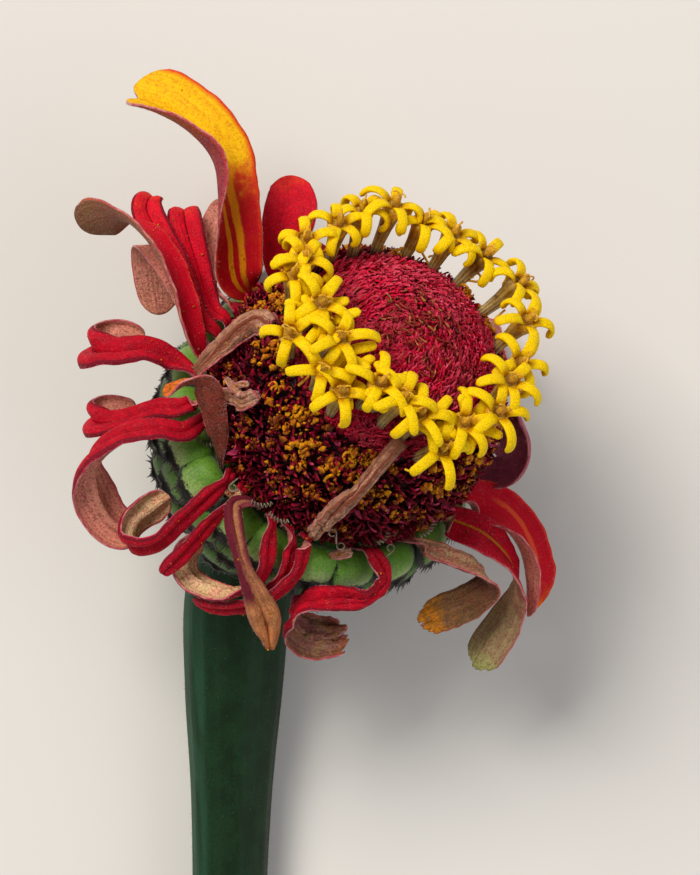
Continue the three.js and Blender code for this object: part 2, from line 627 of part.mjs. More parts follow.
    name: "petal_17_outer_bow", cells: 2, claw: 203.5, rows: [
      [-2.7, -10.6, 23.7, 0.7, -0.3, 0.65, 1.5, 40],
      [-3.4, -12.5, 23.3, 0.75, -0.5, 0.5, 1.8, 50],
      [-5.6, -14.5, 23.0, 0.6, -0.7, 0.45, 2.0, 50],
      [-8.0, -15.2, 22.0, 0.1, -0.85, 0.5, 2.2, 50],
      [-10.2, -15.3, 20.6, -0.2, -0.85, 0.5, 2.0, 40],
      [-11.6, -14.9, 19.6, -0.4, -0.8, 0.45, 1.2, 30],
    ],
  },
  {
    name: "petal_18_ragged", cells: 2, claw: 229, rows: [
      [3.2, -11.2, 22.6, 0.6, -0.2, 0.75, 1.5, 40],
      [4.0, -13.0, 22.0, 0.7, -0.4, 0.6, 1.8, 40],
      [2.6, -14.6, 22.0, 0.3, -0.6, 0.7, 2.0, 40],
      [0.0, -14.8, 22.2, 0, 0.1, 1, 2.2, 50],
      [-2.2, -15.2, 21.8, -0.3, 0.7, 0.65, 2.8, 60],
      [-3.3, -16.8, 20.2, -0.85, 0.3, 0.1, 3.6, 60],
      [-2.2, -17.9, 19.2, -0.3, -0.3, -0.9, 4.2, 50],
      [-0.2, -18.0, 18.8, 0, -0.3, -0.95, 3.6, 50],
      [1.2, -17.6, 18.6, 0, -0.2, -1, 2.4, 40],
    ],
  },
  {
    name: "petal_19_bent_brown", claw: 250, rows: [
      [7.4, -10.7, 19.4, 0.4, 0.85, 0.2, 2.0, 60],
      [9.6, -11.6, 19.6, 0.4, 0.85, 0.15, 2.6, 60],
      [11.8, -12.6, 19.2, 0.5, 0.8, 0.0, 3.0, 50],
      [12.8, -13.6, 18.2, 0.9, 0.2, -0.4, 3.4, 40],
      [11.4, -15.0, 17.2, 0.45, -0.3, -0.85, 3.4, 40],
      [9.2, -16.0, 16.8, 0.3, -0.3, -0.9, 3.4, 50],
      [7.0, -17.0, 16.6, 0.2, -0.4, -0.9, 2.6, 60],
    ],
  },
  {
    name: "petal_20_hanging", claw: 268, rows: [
      [9.6, -8.7, 17.6, 0.2, 0.3, 0.93, 2.0, 40],
      [12.2, -9.9, 18.0, 0.35, 0.35, 0.85, 2.8, 50],
      [14.3, -11.7, 17.6, 0.7, 0.5, 0.5, 3.4, 60],
      [15.2, -14.0, 16.4, 0.95, 0.15, -0.1, 3.6, 50],
      [14.3, -16.6, 15.0, 0.75, -0.2, -0.6, 3.8, 40],
      [12.9, -19.0, 13.8, 0.5, -0.35, -0.8, 3.8, 30],
      [11.8, -20.8, 13.0, 0.4, -0.4, -0.85, 2.4, 30],
    ],
  },
  {
    name: "petal_21_striped", claw: 279, crease: 0.6, rows: [
      [11.8, -7.0, 15.6, 0.35, 0.45, 0.82, 3.0, 60],
      [14.3, -8.6, 15.3, 0.6, 0.6, 0.55, 4.6, 110],
      [15.7, -10.8, 14.8, 0.85, 0.35, 0.42, 5.6, 130],
      [16.3, -13.3, 14.0, 0.93, 0.05, 0.4, 5.6, 130],
      [16.4, -15.2, 13.2, 0.93, -0.2, 0.35, 4.4, 110],
      [16.5, -16.4, 12.6, 0.9, -0.3, 0.35, 3.0, 90],
    ],
  },
  {
    name: "petal_22_cupped", claw: 302, rows: [
      [12.6, -4.2, 13.4, -0.2, 0.2, 0.95, 2.2, 50],
      [14.9, -4.4, 14.8, -0.5, 0.4, 0.75, 4.0, 110],
      [15.8, -2.4, 14.8, -0.75, 0, 0.65, 5.0, 130],
      [15.4, -0.4, 14.2, -0.7, -0.3, 0.6, 4.0, 120],
      [14.8, 0.9, 13.6, -0.6, -0.4, 0.6, 2.0, 90],
    ],
  },
  {
    name: "petal_23_right_rest", cells: 2, rests: true, claw: 330, rows: [
      [13.4, 4.2, 9.5, 0.8, 0.3, 0.5, 3.2, 40],
      [14.4, 5.8, 6.0, 0.95, 0.3, 0.1, 4.0, 40],
      [13.8, 6.8, 2.8, 0.9, 0.3, -0.4, 4.0, 40],
      [12.4, 7.2, 0.9, 0.3, 0.1, -0.95, 3.4, 40],
      [10.8, 7.4, 0.9, -0.1, 0, -1, 2.0, 30],
    ],
  },
  {
    name: "petal_24_back_right", cells: 2, claw: 2, rows: [
      [8.2, 10.2, 9.6, 0.5, 0.6, 0.6, 2.8, 40],
      [8.8, 10.8, 7.4, 0.6, 0.8, 0, 3.4, 40],
      [7.6, 10.2, 5.0, 0.3, 0.6, -0.7, 3.4, 40],
      [5.8, 9.0, 4.2, 0, 0.2, -1, 2.2, 30],
    ],
  },
  {
    name: "petal_25_back", cells: 2, claw: 22, rows: [
      [3.8, 12.6, 9.6, 0.2, 0.7, 0.6, 2.8, 40],
      [3.0, 13.4, 6.8, 0.1, 1, 0, 3.4, 40],
      [1.6, 12.6, 4.2, 0, 0.7, -0.7, 3.4, 40],
      [0.8, 11.4, 3.2, 0, 0.2, -1, 2.2, 30],
    ],
  },
  {
    name: "petal_26_left_rest", cells: 2, rests: true, claw: 40, rows: [
      [-1.5, 13.8, 10.6, 0, 0.7, 0.7, 2.8, 40],
      [-4.5, 14.6, 7.0, -0.5, 0.8, 0.3, 3.6, 40],
      [-7.0, 13.8, 3.4, -0.6, 0.6, -0.4, 4.0, 40],
      [-8.2, 12.4, 0.9, -0.3, 0.2, -0.95, 3.4, 40],
      [-8.2, 10.8, 0.9, 0, -0.1, -1, 2.0, 30],
    ],
  },
];
// A petal that the flower rests on has its hanging end moved up or down until it touches the surface
const RESTING_ROWS = 3;

function settled(rows, shape) {
  for (let round = 0; round < 6; round++) {
    const geometry = blade(rows, shape);
    geometry.computeBoundingBox();
    rows.slice(-RESTING_ROWS).forEach((row) => {
      row[2] -= geometry.boundingBox.min.z;
    });
  }
  return rows;
}

PETALS.forEach(({ name, claw, crease, cells, rows, dried, rests }) => {
  const whole = [...clawRows(claw), ...rows];
  const shape = { crease, cells };
  add(name, blade(rests ? settled(whole, shape) : whole, shape), dried ? petalDried : petalRed);
});

// Dried florets that have dropped against the side of the cone
const WITHERED = [
  {
    name: "withered_floret_left", rows: [
      [-11.4, 3.9, 25.6, -0.5, 0.3, 0.8, 1.4, 60],
      [-10.2, 5.1, 26.2, -0.5, 0.3, 0.8, 2.0, 110],
      [-8.8, 6.6, 27.0, -0.5, 0.3, 0.8, 2.2, 120],
      [-7.4, 7.9, 27.8, -0.4, 0.4, 0.8, 2.4, 110],
      [-6.2, 8.3, 28.9, -0.3, 0.5, 0.8, 2.6, 90],
      [-5.2, 7.7, 30.4, -0.3, 0.5, 0.6, 2.4, 70],
    ],
  },
  {
    name: "withered_floret_front", rows: [
      [5.5, -1.8, 33.2, 0, -0.4, 0.9, 1.8, 120],
      [3.8, -3.7, 33.1, 0, -0.5, 0.85, 1.8, 130],
      [1.8, -6.1, 31.5, -0.1, -0.6, 0.8, 1.8, 130],
      [0.3, -7.5, 30.0, -0.2, -0.7, 0.7, 2.0, 120],
      [-0.9, -9.1, 27.6, -0.2, -0.8, 0.6, 1.9, 100],
      [-2.0, -10.2, 25.2, -0.2, -0.8, 0.5, 1.2, 70],
    ],
  },
  {
    name: "withered_floret_small", rows: [
      [-9.4, 2.0, 26.0, -0.7, -0.1, 0.7, 1.2, 60],
      [-8.0, 1.9, 28.4, -0.7, -0.1, 0.7, 1.5, 90],
      [-7.4, 1.5, 29.9, -0.6, -0.1, 0.8, 1.6, 90],
      [-6.3, 2.0, 31.2, -0.6, -0.1, 0.8, 1.3, 60],
    ],
  },
];
WITHERED.forEach(({ name, rows }) => add(name, blade(rows, { cells: 2 }), petalDried));

// The origin is on the surface, under the middle of the whole flower's box
const box = new THREE.Box3().setFromObject(laidFlower);
laidFlower.position.set(-(box.min.x + box.max.x) / 2, -(box.min.y + box.max.y) / 2, 0);
const zinniaFlower = new THREE.Group().add(laidFlower);

export default zinniaFlower;
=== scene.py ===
import math

import bmesh
import bpy
import numpy as np
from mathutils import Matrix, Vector


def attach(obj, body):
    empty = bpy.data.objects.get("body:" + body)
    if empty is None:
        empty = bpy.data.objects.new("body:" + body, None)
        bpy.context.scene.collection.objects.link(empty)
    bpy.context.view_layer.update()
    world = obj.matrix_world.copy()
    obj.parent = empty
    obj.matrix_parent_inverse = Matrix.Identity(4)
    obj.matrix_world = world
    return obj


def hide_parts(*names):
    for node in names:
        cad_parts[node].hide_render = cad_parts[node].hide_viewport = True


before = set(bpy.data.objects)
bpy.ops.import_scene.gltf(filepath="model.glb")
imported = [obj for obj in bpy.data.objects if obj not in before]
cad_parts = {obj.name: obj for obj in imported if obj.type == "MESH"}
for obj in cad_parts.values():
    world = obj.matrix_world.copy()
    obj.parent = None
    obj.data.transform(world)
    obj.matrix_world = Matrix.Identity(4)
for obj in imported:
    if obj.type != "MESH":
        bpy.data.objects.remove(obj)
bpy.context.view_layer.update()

# The stem is one green stalk with soft ribs and a painted highlight, pale and bluish, down its left side. It is cut
# off square, which shows its pale pith. The flower lies on it and on two petals, and its top bends up into the
# leaning head. Places are in millimetres from the point on the surface under the middle of the head's rim. +Z is up
# and +Y runs from the cut end to the head.
MM = 0.001
HEAD_LEAN, HEAD_AZIMUTH = math.radians(34), math.radians(47)
RIM_CENTRE = np.array([0.0, 0.0, 17.0])
UPRIGHT = np.array([0.0, 0.0, 1.0])
STEM_END = (-9.3, -50.0)
STEM_SIDES, STEM_RIBS, RIB_DEPTH = 60, 15.0, 0.012
PITH_HEIGHT, PITH_RADIUS = 3.2, 2.6
lean_side = np.array([math.cos(HEAD_AZIMUTH), math.sin(HEAD_AZIMUTH), 0.0])
head_axis = lean_side * math.sin(HEAD_LEAN) + UPRIGHT * math.cos(HEAD_LEAN)
head_away = lean_side * math.cos(HEAD_LEAN) - UPRIGHT * math.sin(HEAD_LEAN)
head_across = np.array([-lean_side[1], lean_side[0], 0.0])
stem_x, stem_y = np.array([v.co[:2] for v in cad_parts["stem"].data.vertices]).T
cut_x, cut_y = stem_x[stem_y < stem_y.min() + 1e-6], stem_y.min()
under_rim = np.array([(cut_x.min() + cut_x.max()) / 2 - STEM_END[0] * MM, cut_y - STEM_END[1] * MM, 0.0])


def to_frame(points):
    return np.asarray(points, float) * MM + under_rim


def radial(angle):
    turn = np.radians(np.asarray(angle, float))[..., None]
    return head_away * np.cos(turn) + head_across * np.sin(turn)


def on_head(angle, radius, along):
    """The point at an angle round the head, a radius from its axis and a distance along it."""
    radius = np.asarray(radius, float)[..., None]
    along = np.asarray(along, float)[..., None]
    return RIM_CENTRE + head_axis * along + radial(angle) * radius


def unit(vectors):
    return vectors / np.maximum(np.linalg.norm(vectors, axis=-1, keepdims=True), 1e-12)


def smooth_rows(rows, steps):
    """A smooth curve through rows of numbers, as rows at even steps."""
    rows = np.array(rows, float)
    padded = np.vstack([2 * rows[0] - rows[1], rows, 2 * rows[-1] - rows[-2]])
    k = np.arange((len(rows) - 1) * steps + 1)
    span = np.minimum(k // steps, len(rows) - 2)
    t = (k / steps - span)[:, None]
    a, b, c, d = (padded[span + i] for i in range(4))
    return b + 0.5 * t * (c - a + t * (2 * a - 5 * b + 4 * c - d + t * (3 * (b - c) + d - a)))


def shade(code):
    """A colour from its six-figure code, as the shaders take it. A socket is handed back as it is."""
    if not isinstance(code, str):
        return code
    parts = [int(code[i:i + 2], 16) / 255 for i in (0, 2, 4)]
    return tuple(c / 12.92 if c <= 0.04045 else ((c + 0.055) / 1.055) ** 2.4 for c in parts) + (1.0,)


def node(tree, kind, inputs=None, **settings):
    made = tree.nodes.new(kind)
    for key, value in settings.items():
        setattr(made, key, value)
    for key, value in (inputs or {}).items():
        if isinstance(value, bpy.types.NodeSocket):
            tree.links.new(value, made.inputs[key])
        else:
            made.inputs[key].default_value = value
    return made


def calc(tree, operation, *values):
    return node(tree, "ShaderNodeMath", dict(enumerate(values)), operation=operation).outputs[0]


def ramped(tree, value, low, high, to_low=0.0, to_high=1.0):
    inputs = {"Value": value, "From Min": low, "From Max": high, "To Min": to_low, "To Max": to_high}
    return node(tree, "ShaderNodeMapRange", inputs, interpolation_type="SMOOTHSTEP").outputs[0]


def mixed(tree, share, first, second, blend="MIX"):
    inputs = {0: share, 6: shade(first), 7: shade(second)}
    return node(tree, "ShaderNodeMix", inputs, data_type="RGBA", blend_type=blend).outputs[2]


def toned(tree, value, colour, *steps):
    """A colour that changes in steps of (from, to, colour) as a value rises."""
    for low, high, code in steps:
        colour = mixed(tree, ramped(tree, value, low, high), colour, code)
    return colour


def noise(tree, vector, scale, detail=2.0):
    return node(tree, "ShaderNodeTexNoise", {"Vector": vector, "Scale": scale, "Detail": detail}).outputs[0]


def stretched(tree, vector, scale):
    return node(tree, "ShaderNodeMapping", {"Vector": vector, "Scale": scale}).outputs[0]


def split(tree, vector):
    return node(tree, "ShaderNodeSeparateXYZ", {0: vector}).outputs


def object_place(tree):
    return node(tree, "ShaderNodeTexCoord").outputs["Object"]


def attribute(tree, name):
    return node(tree, "ShaderNodeAttribute", attribute_name=name).outputs["Fac"]


def new_tree(kind, name, inputs, outputs):
    """A Shader or Geometry node tree with named inputs and outputs, each [name, socket kind, value]."""
    tree = bpy.data.node_groups.new(name, kind + "NodeTree")
    for way, rows in (("INPUT", inputs), ("OUTPUT", outputs)):
        for label, socket_kind, *value in rows:
            socket = tree.interface.new_socket(label, in_out=way, socket_type="NodeSocket" + socket_kind)
            if value:
                socket.default_value = value[0]
    return tree, tree.nodes.new("NodeGroupInput").outputs, tree.nodes.new("NodeGroupOutput").inputs


def placed(tree, group, inputs):
    return node(tree, "ShaderNodeGroup", inputs, node_tree=group).outputs


plant_skin, given, out = new_tree(
    "Shader", "Plant skin",
    [("Place", "Vector"), ("Colour", "Color", (0.2, 0.5, 0.1, 1)), ("Blotch colour", "Color", (0.3, 0.6, 0.2, 1)),
     ("Blotch scale", "Float", 400.0), ("Blotch share", "Float", 0.5), ("Grain scale", "Float", 4000.0)],
    [("Colour", "Color"), ("Grain", "Float"), ("Roughness", "Float")],
)
blotch = ramped(plant_skin, noise(plant_skin, given["Place"], given["Blotch scale"], 4.0), 0.38, 0.62)
blotched = mixed(plant_skin, calc(plant_skin, "MULTIPLY", blotch, given["Blotch share"]),
                 given["Colour"], given["Blotch colour"])
grain = noise(plant_skin, given["Place"], given["Grain scale"], 3.0)
dark_grain = ramped(plant_skin, grain, 0.3, 0.7, 0.72, 1.12)
value = node(plant_skin, "ShaderNodeCombineColor", {0: dark_grain, 1: dark_grain, 2: dark_grain}).outputs[0]
plant_skin.links.new(mixed(plant_skin, 1.0, blotched, value, "MULTIPLY"), out["Colour"])
plant_skin.links.new(grain, out["Grain"])
plant_skin.links.new(ramped(plant_skin, grain, 0.2, 0.8, 0.42, 0.72), out["Roughness"])


def new_material(name, **constants):
    material = bpy.data.materials.new(name)
    material.use_nodes = True
    shader = material.node_tree.nodes["Principled BSDF"]
    for key, value in constants.items():
        shader.inputs[key.replace("_", " ").title().replace("Ior", "IOR")].default_value = value
    return material, material.node_tree, shader


def skin_look(tree, colour, second, blotches, share, grain):
    """Plant skin in a colour: the scale and share of its blotches of a second colour, and the scale of its grain."""
    return placed(tree, plant_skin, {
        "Place": object_place(tree), "Colour": shade(colour), "Blotch colour": shade(second),
        "Blotch scale": blotches, "Blotch share": share, "Grain scale": grain})


def finished(tree, shader, look, depth, strength, colour=None, relief=None):
    """Wires a look to the shader: colour, roughness, and a bump of a depth in millimetres if there is one."""
    tree.links.new(look["Colour"] if colour is None else colour, shader.inputs["Base Color"])
    tree.links.new(look["Roughness"], shader.inputs["Roughness"])
    if depth:
        height = look["Grain"] if relief is None else relief
        bump = node(tree, "ShaderNodeBump", {"Strength": strength, "Distance": depth * MM, "Height": height})
        tree.links.new(bump.outputs["Normal"], shader.inputs["Normal"])


def linked(name, data):
    made = bpy.data.objects.new(name, data)
    bpy.context.scene.collection.objects.link(made)
    return made


def new_object(name, points, faces=(), edges=(), smooth=True, **attributes):
    """An object from points and faces, with a value or a vector for each point in every attribute."""
    mesh = bpy.data.meshes.new(name)
    points = np.asarray(points, float).reshape(-1, 3).tolist()
    mesh.from_pydata(points, list(edges), [list(map(int, f)) for f in faces])
    for key, values in attributes.items():
        values = np.asarray(values, np.float32)
        vectors = values.ndim == 2
        layer = mesh.attributes.new(key, "FLOAT_VECTOR" if vectors else "FLOAT", "POINT")
        layer.data.foreach_set("vector" if vectors else "value", values.ravel())
    mesh.polygons.foreach_set("use_smooth", [smooth] * len(mesh.polygons))
    return linked(name, mesh)


def named(tree, name, kind="FLOAT"):
    return node(tree, "GeometryNodeInputNamedAttribute", {"Name": name}, data_type=kind).outputs[0]


def realized(tree, geometry, material, out):
    real = node(tree, "GeometryNodeRealizeInstances", {"Geometry": geometry}).outputs[0]
    clad = node(tree, "GeometryNodeSetMaterial", {"Geometry": real, "Material": material}).outputs[0]
    tree.links.new(clad, out["Geometry"])


def grown(name, bed, tree, values, smooth=True):
    """Runs a geometry node tree on a bed object, and leaves only the plain mesh that it made."""
    modifier = bed.modifiers.new(name, "NODES")
    modifier.node_group = tree
    for item in tree.interface.items_tree:
        if item.in_out == "INPUT" and item.name in values:
            modifier[item.identifier] = values[item.name]
    depsgraph = bpy.context.evaluated_depsgraph_get()
    mesh = bpy.data.meshes.new_from_object(
        bed.evaluated_get(depsgraph), preserve_all_data_layers=True, depsgraph=depsgraph)
    bed.modifiers.remove(modifier)
    bpy.data.objects.remove(bed)
    mesh.polygons.foreach_set("use_smooth", [smooth] * len(mesh.polygons))
    return linked(name, mesh)


def hand_over(made, slot, *nodes):
    """A finished piece rides with the flower and stands for CAD nodes, which are hidden. Its slot is not used."""
    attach(made, "root")
    if nodes:
        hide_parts(*nodes)
    return made


along_path, given, out = new_tree("Geometry", "Stalk along a path", [
    ("Geometry", "Geometry"), ("Sides", "Int", 24), ("Ribs", "Float", 0.0), ("Rib depth", "Float", 0.0),
    ("Material", "Material")], [("Geometry", "Geometry")])
line = node(along_path, "GeometryNodeMeshToCurve", {"Mesh": given["Geometry"]}).outputs[0]
ring = node(along_path, "GeometryNodeCurvePrimitiveCircle", {"Resolution": given["Sides"], "Radius": 1.0}).outputs[0]
step = node(along_path, "GeometryNodeInputIndex").outputs[0]
turn = calc(along_path, "DIVIDE", calc(along_path, "MULTIPLY", step, given["Ribs"]), given["Sides"])
rib = calc(along_path, "MULTIPLY", calc(along_path, "COSINE", calc(along_path, "MULTIPLY", turn, math.tau)),
           given["Rib depth"])
spot = node(along_path, "GeometryNodeInputPosition").outputs[0]
push = node(along_path, "ShaderNodeVectorMath", {0: spot, "Scale": rib}, operation="SCALE").outputs[0]
ribbed = node(along_path, "GeometryNodeSetPosition", {"Geometry": ring, "Offset": push}).outputs[0]
skin = node(along_path, "GeometryNodeCurveToMesh", {
    "Curve": line, "Profile Curve": ribbed, "Scale": named(along_path, "girth"), "Fill Caps": True}).outputs[0]
realized(along_path, skin, given["Material"], out)

# Each row is a place on the stem's middle line and the radius there, from inside the cup to the cut end
stem_rows = smooth_rows([
    [*on_head(0, 0, -11.2), 4.7], [*on_head(0, 0, -13.2), 3.9], [-6.9, -9.7, 5.1, 4.1], [-8.4, -15, 5.0, 4.55],
    [-8.8, -23, 4.6, 4.2], [-9.0, -32, 4.0, 3.5], [-9.2, -42, 3.5, 3.15], [*STEM_END, 3.2, 3.1],
], 12)
stem_skin, tree, shader = new_material("Stem skin", sheen_weight=0.03, specular_ior_level=0.2)
place = object_place(tree)
streaks = noise(tree, stretched(tree, place, (1.0, 0.12, 1.0)), 900.0, 4.0)
# Painted highlight: where the stem's normal faces -X, towards the key lamp, it is mixed to a pale bluish green
side = split(tree, node(tree, "ShaderNodeNewGeometry").outputs["Normal"])[0]
painted_left_highlight = ramped(tree, calc(tree, "ADD", side, calc(tree, "MULTIPLY", streaks, 0.25)), -0.1, -0.9)
green = toned(tree, streaks, mixed(tree, painted_left_highlight, "08240a", "22523a"), (0.4, 0.75, "0f2e13"))
look = skin_look(tree, green, "183e20", 500.0, 0.35, 6000.0)
cut_middle = tuple(to_frame([*STEM_END, PITH_HEIGHT]))
from_middle = node(tree, "ShaderNodeVectorMath", {0: place, 1: cut_middle}, operation="DISTANCE").outputs["Value"]
pith_edge = calc(tree, "ADD", from_middle, calc(tree, "MULTIPLY", streaks, 0.4 * MM))
pith = ramped(tree, pith_edge, PITH_RADIUS * MM, 0.8 * PITH_RADIUS * MM)
finished(tree, shader, look, 0.25, 0.5, mixed(tree, pith, look["Colour"], "b4bc8c"), streaks)
stem_path = new_object("stem_path", to_frame(stem_rows[:, :3]), girth=stem_rows[:, 3] * MM,
                       edges=[(k, k + 1) for k in range(len(stem_rows) - 1)])
stem = grown("stem_stalk", stem_path, along_path,
             {"Sides": STEM_SIDES, "Ribs": STEM_RIBS, "Rib depth": RIB_DEPTH, "Material": stem_skin})
hand_over(stem, "stem_green", "stem")

# The cup is the green underside of the head. Bracts grow from it in three overlapping rows, each a thick
# living pillow with a pale flush under its tip and a dry black fringe that turns outward. The two lower rows
# are painted darker green, with less flush, as shade.
# Each row of bracts starts at a turn in degrees, and its profile is [radius, along] on the head from root to tip
BRACT_ROWS = [
    {"count": 21, "turn": 8, "width": 4.9, "profile": [[11.0, -1.9], [12.3, -1.3], [13.4, -2.2], [14.2, -3.7]]},
    {"count": 21, "turn": 16, "width": 4.9, "profile": [[11.2, -4.4], [12.5, -3.9], [13.3, -5.0], [13.9, -6.6]]},
    {"count": 18, "turn": 4, "width": 5.2, "profile": [[10.6, -7.0], [12.2, -6.9], [12.9, -8.0], [13.2, -9.4]]},
]
BRACT_EDGE_FROM, BRACT_MIDDLE = 7, (8, 7)
FRINGE_TEETH, TOOTH_HALF_WIDTH, TOOTH_ROOT, TOOTH_SHORTEST, TOOTH_SPREAD = 52, 0.11, 0.15, 0.15, 0.75
TOOTH_FACES = np.array([[0, 1, 3], [1, 2, 3], [2, 0, 3], [0, 2, 1]])


def ring_faces(rings, sides, start=0):
    """Quads over rings of points, each running the same way round."""
    k, i = np.meshgrid(np.arange(rings - 1), np.arange(sides), indexing="ij")
    a = start + k * sides + i
    b = start + k * sides + (i + 1) % sides
    return np.stack([a, b, b + sides, a + sides], -1).reshape(-1, 4)


def capped_rings(rings, sides, start=0):
    last = start + (rings - 1) * sides
    caps = [list(range(start, start + sides))[::-1], list(range(last, last + sides))]
    return ring_faces(rings, sides, start).tolist() + caps


def turned(profile, segments):
    """Points and faces of a closed skin turned about the head's axis from [radius, along] pairs."""
    angles = np.arange(segments) * 360 / segments
    profile = np.asarray(profile, float)
    points = on_head(angles[None, :], profile[:, :1] * np.ones(segments), profile[:, 1:] * np.ones(segments))
    return points.reshape(-1, 3), capped_rings(len(profile), segments)


def recalculated(made):
    """Turns every closed shell of a mesh to face outward."""
    work = bmesh.new()
    work.from_mesh(made.data)
    bmesh.ops.recalc_face_normals(work, faces=work.faces)
    work.to_mesh(made.data)
    work.free()
    return made


def closed_piece(name, points, faces, material, slot, *nodes, smooth=True, **attributes):
    """A finished piece of closed shells, from points in millimetres, in one material."""
    made = new_object(name, to_frame(points), faces, smooth=smooth, **attributes)
    made.data.materials.append(material)
    return hand_over(recalculated(made), slot, *nodes)


def plain_skin(name, colour, second, blotches, share, grain, depth, strength=0.5, **constants):
    """A material that is plain plant skin, from the numbers that skin_look and finished take."""
    material, tree, shader = new_material(name, **constants)
    finished(tree, shader, skin_look(tree, colour, second, blotches, share, grain), depth, strength)
    return material


def draw(index, kind):
    """A number from 0 to 1 that only depends on the numbers given."""
    wave = np.sin(np.asarray(index) * 12.9898 + kind * 78.233) * 43758.5453
    return wave - np.floor(wave)


def plate_faces(rows, columns, start=0):
    """Quads over a grid of points, wound so that they face the side that columns x rows gives."""
    k, i = np.meshgrid(np.arange(rows - 1), np.arange(columns - 1), indexing="ij")
    a = start + k * columns + i
    return np.stack([a, a + 1, a + columns + 1, a + columns], -1).reshape(-1, 4)


def closed_plate(front, back):
    """Points, faces and a face kind (0 front, 1 back, 2 rim) of a closed blade between two grids."""
    rows, columns = front.shape[:2]
    offset = rows * columns
    top = plate_faces(rows, columns)
    under = plate_faces(rows, columns, offset)[:, ::-1]
    left = np.arange(rows - 1) * columns
    right = left + columns - 1
    base = np.arange(columns - 1)
    end = (rows - 1) * columns + base
    rim = np.concatenate([
        np.stack([left, left + columns, offset + left + columns, offset + left], -1),
        np.stack([right, offset + right, offset + right + columns, right + columns], -1),
        np.stack([base, offset + base, offset + base + 1, base + 1], -1),
        np.stack([end, end + 1, offset + end + 1, offset + end], -1),
    ])
    kinds = np.concatenate([np.zeros(len(top)), np.ones(len(under)), np.full(len(rim), 2)]).astype(int)
    return np.concatenate([front.reshape(-1, 3), back.reshape(-1, 3)]), np.concatenate([top, under, rim]), kinds


def surface_normals(grid):
    return unit(np.cross(np.gradient(grid, axis=1), np.gradient(grid, axis=0)))


def bract_grid(row, index, rows=16, columns=15):
    """The outer skin of one bract, with the share of its length and of its half width at each point."""
    angle = row["turn"] + 360 * index / row["count"] + 6 * (draw(index, row["turn"]) - 0.5)
    lift = 0.9 * (draw(index, row["turn"] + 1) - 0.5)
    path = smooth_rows(row["profile"], 8)
    v = np.linspace(0, 1, rows)[:, None]
    s = np.linspace(-1, 1, columns)[None, :]
    reach = v * (1 - 0.16 * np.abs(s) ** 2.5 + 0.03 * np.sin(9 * s + index))
    steps = np.linspace(0, 1, len(path))
    r = np.interp(reach, steps, path[:, 0])
    h = np.interp(reach, steps, path[:, 1]) + lift * reach
    width = row["width"] * (0.7 + 0.3 * np.sin(np.minimum(reach * 1.5, 1) * np.pi / 2)) * (1 - 0.35 * reach ** 5)
    slope = unit(np.gradient(path, axis=0))
    swell = 0.75 * np.sin(np.pi * np.clip(reach * 1.15, 0, 1)) ** 0.6 * (1 - np.abs(s) ** 2.6)
    swell = swell + (0.26 * s - 0.3 * s ** 4) * np.minimum(1, 2 * reach) + 0.25 * reach ** 8
    r = r - swell * np.interp(reach, steps, slope[:, 1])
    h = h + swell * np.interp(reach, steps, slope[:, 0])
    turn = np.degrees(s * width / 2 / r)
    return on_head(angle - turn, r, h), reach * np.ones_like(s), s * np.ones_like(v)


def fringe_teeth(outer, normals, index, turn):
    """Four points for each tooth along the sides and the tip of a bract: three at its root, one at its point."""
    first = BRACT_EDGE_FROM
    edge, facing = (np.concatenate([g[first:, 0], g[-1, 1:-1], g[first:, -1][::-1]]) for g in (outer, normals))
    at, along = np.linspace(0, len(edge) - 1, FRINGE_TEETH), np.arange(len(edge))
    root, out = (np.stack([np.interp(at, along, g[:, k]) for k in range(3)], -1) for g in (edge, facing))
    ahead = unit(root[2:] - root[:-2])
    root, out = root[1:-1], out[1:-1]
    k = np.arange(1, FRINGE_TEETH - 1)[:, None]
    flare = unit(unit(root - outer[BRACT_MIDDLE]) + 0.4 * (draw(k, index + 5) - 0.3) * out
                 + 0.9 * (draw(k, index + 3) - 0.5) * ahead)
    length = TOOTH_SHORTEST + TOOTH_SPREAD * draw(k + 60 * index, turn) ** 1.6
    foot, half = TOOTH_ROOT * flare, TOOTH_HALF_WIDTH * ahead
    return np.stack([root - half - foot, root + half - foot, root - 0.12 * out - foot, root + length * flare],
                    1).reshape(-1, 3)


def with_uv(made, point_uv):
    """Gives a mesh a UV map from a UV for each point."""
    layer = made.data.uv_layers.new(name="Along")
    corners = np.zeros(len(made.data.loops), int)
    made.data.loops.foreach_get("vertex_index", corners)
    layer.data.foreach_set("uv", np.asarray(point_uv, float)[corners].ravel())


cup_profile = smooth_rows([
    [0.05, -11.0], [5, -11.0], [8.2, -10.4], [11.0, -8.9], [12.2, -6.8], [12.5, -4.0], [12.0, -1.6], [0.05, -1.5],
], 6)
closed_piece("cup_body", *turned(cup_profile, 72), plain_skin(
    "Cup skin", "2c5412", "4d7c1c", 700.0, 0.8, 5000.0, 0.15, 0.6, sheen_weight=0.1), "bract_green", "bract_cup")

bract_points, bract_faces, bract_uv, bract_shaded_rows, fringe_points = [], [], [], [], []
for row in BRACT_ROWS:
    for index in range(row["count"]):
        outer, reach, s = bract_grid(row, index)
        normals = surface_normals(outer)
        thick = (0.55 - 0.35 * np.maximum(reach, np.abs(s)) ** 3)[..., None]
        points, faces, _ = closed_plate(outer, outer - normals * thick)
        bract_faces.append(faces + len(points) * len(bract_points))
        bract_points.append(points)
        bract_uv.append(np.tile(np.stack([(s.ravel() + 1) / 2, reach.ravel()], -1), (2, 1)))
        bract_shaded_rows.append(np.full(len(points), 0.0 if row is BRACT_ROWS[0] else 1.0))
        fringe_points.append(fringe_teeth(outer, normals, index, row["turn"]))

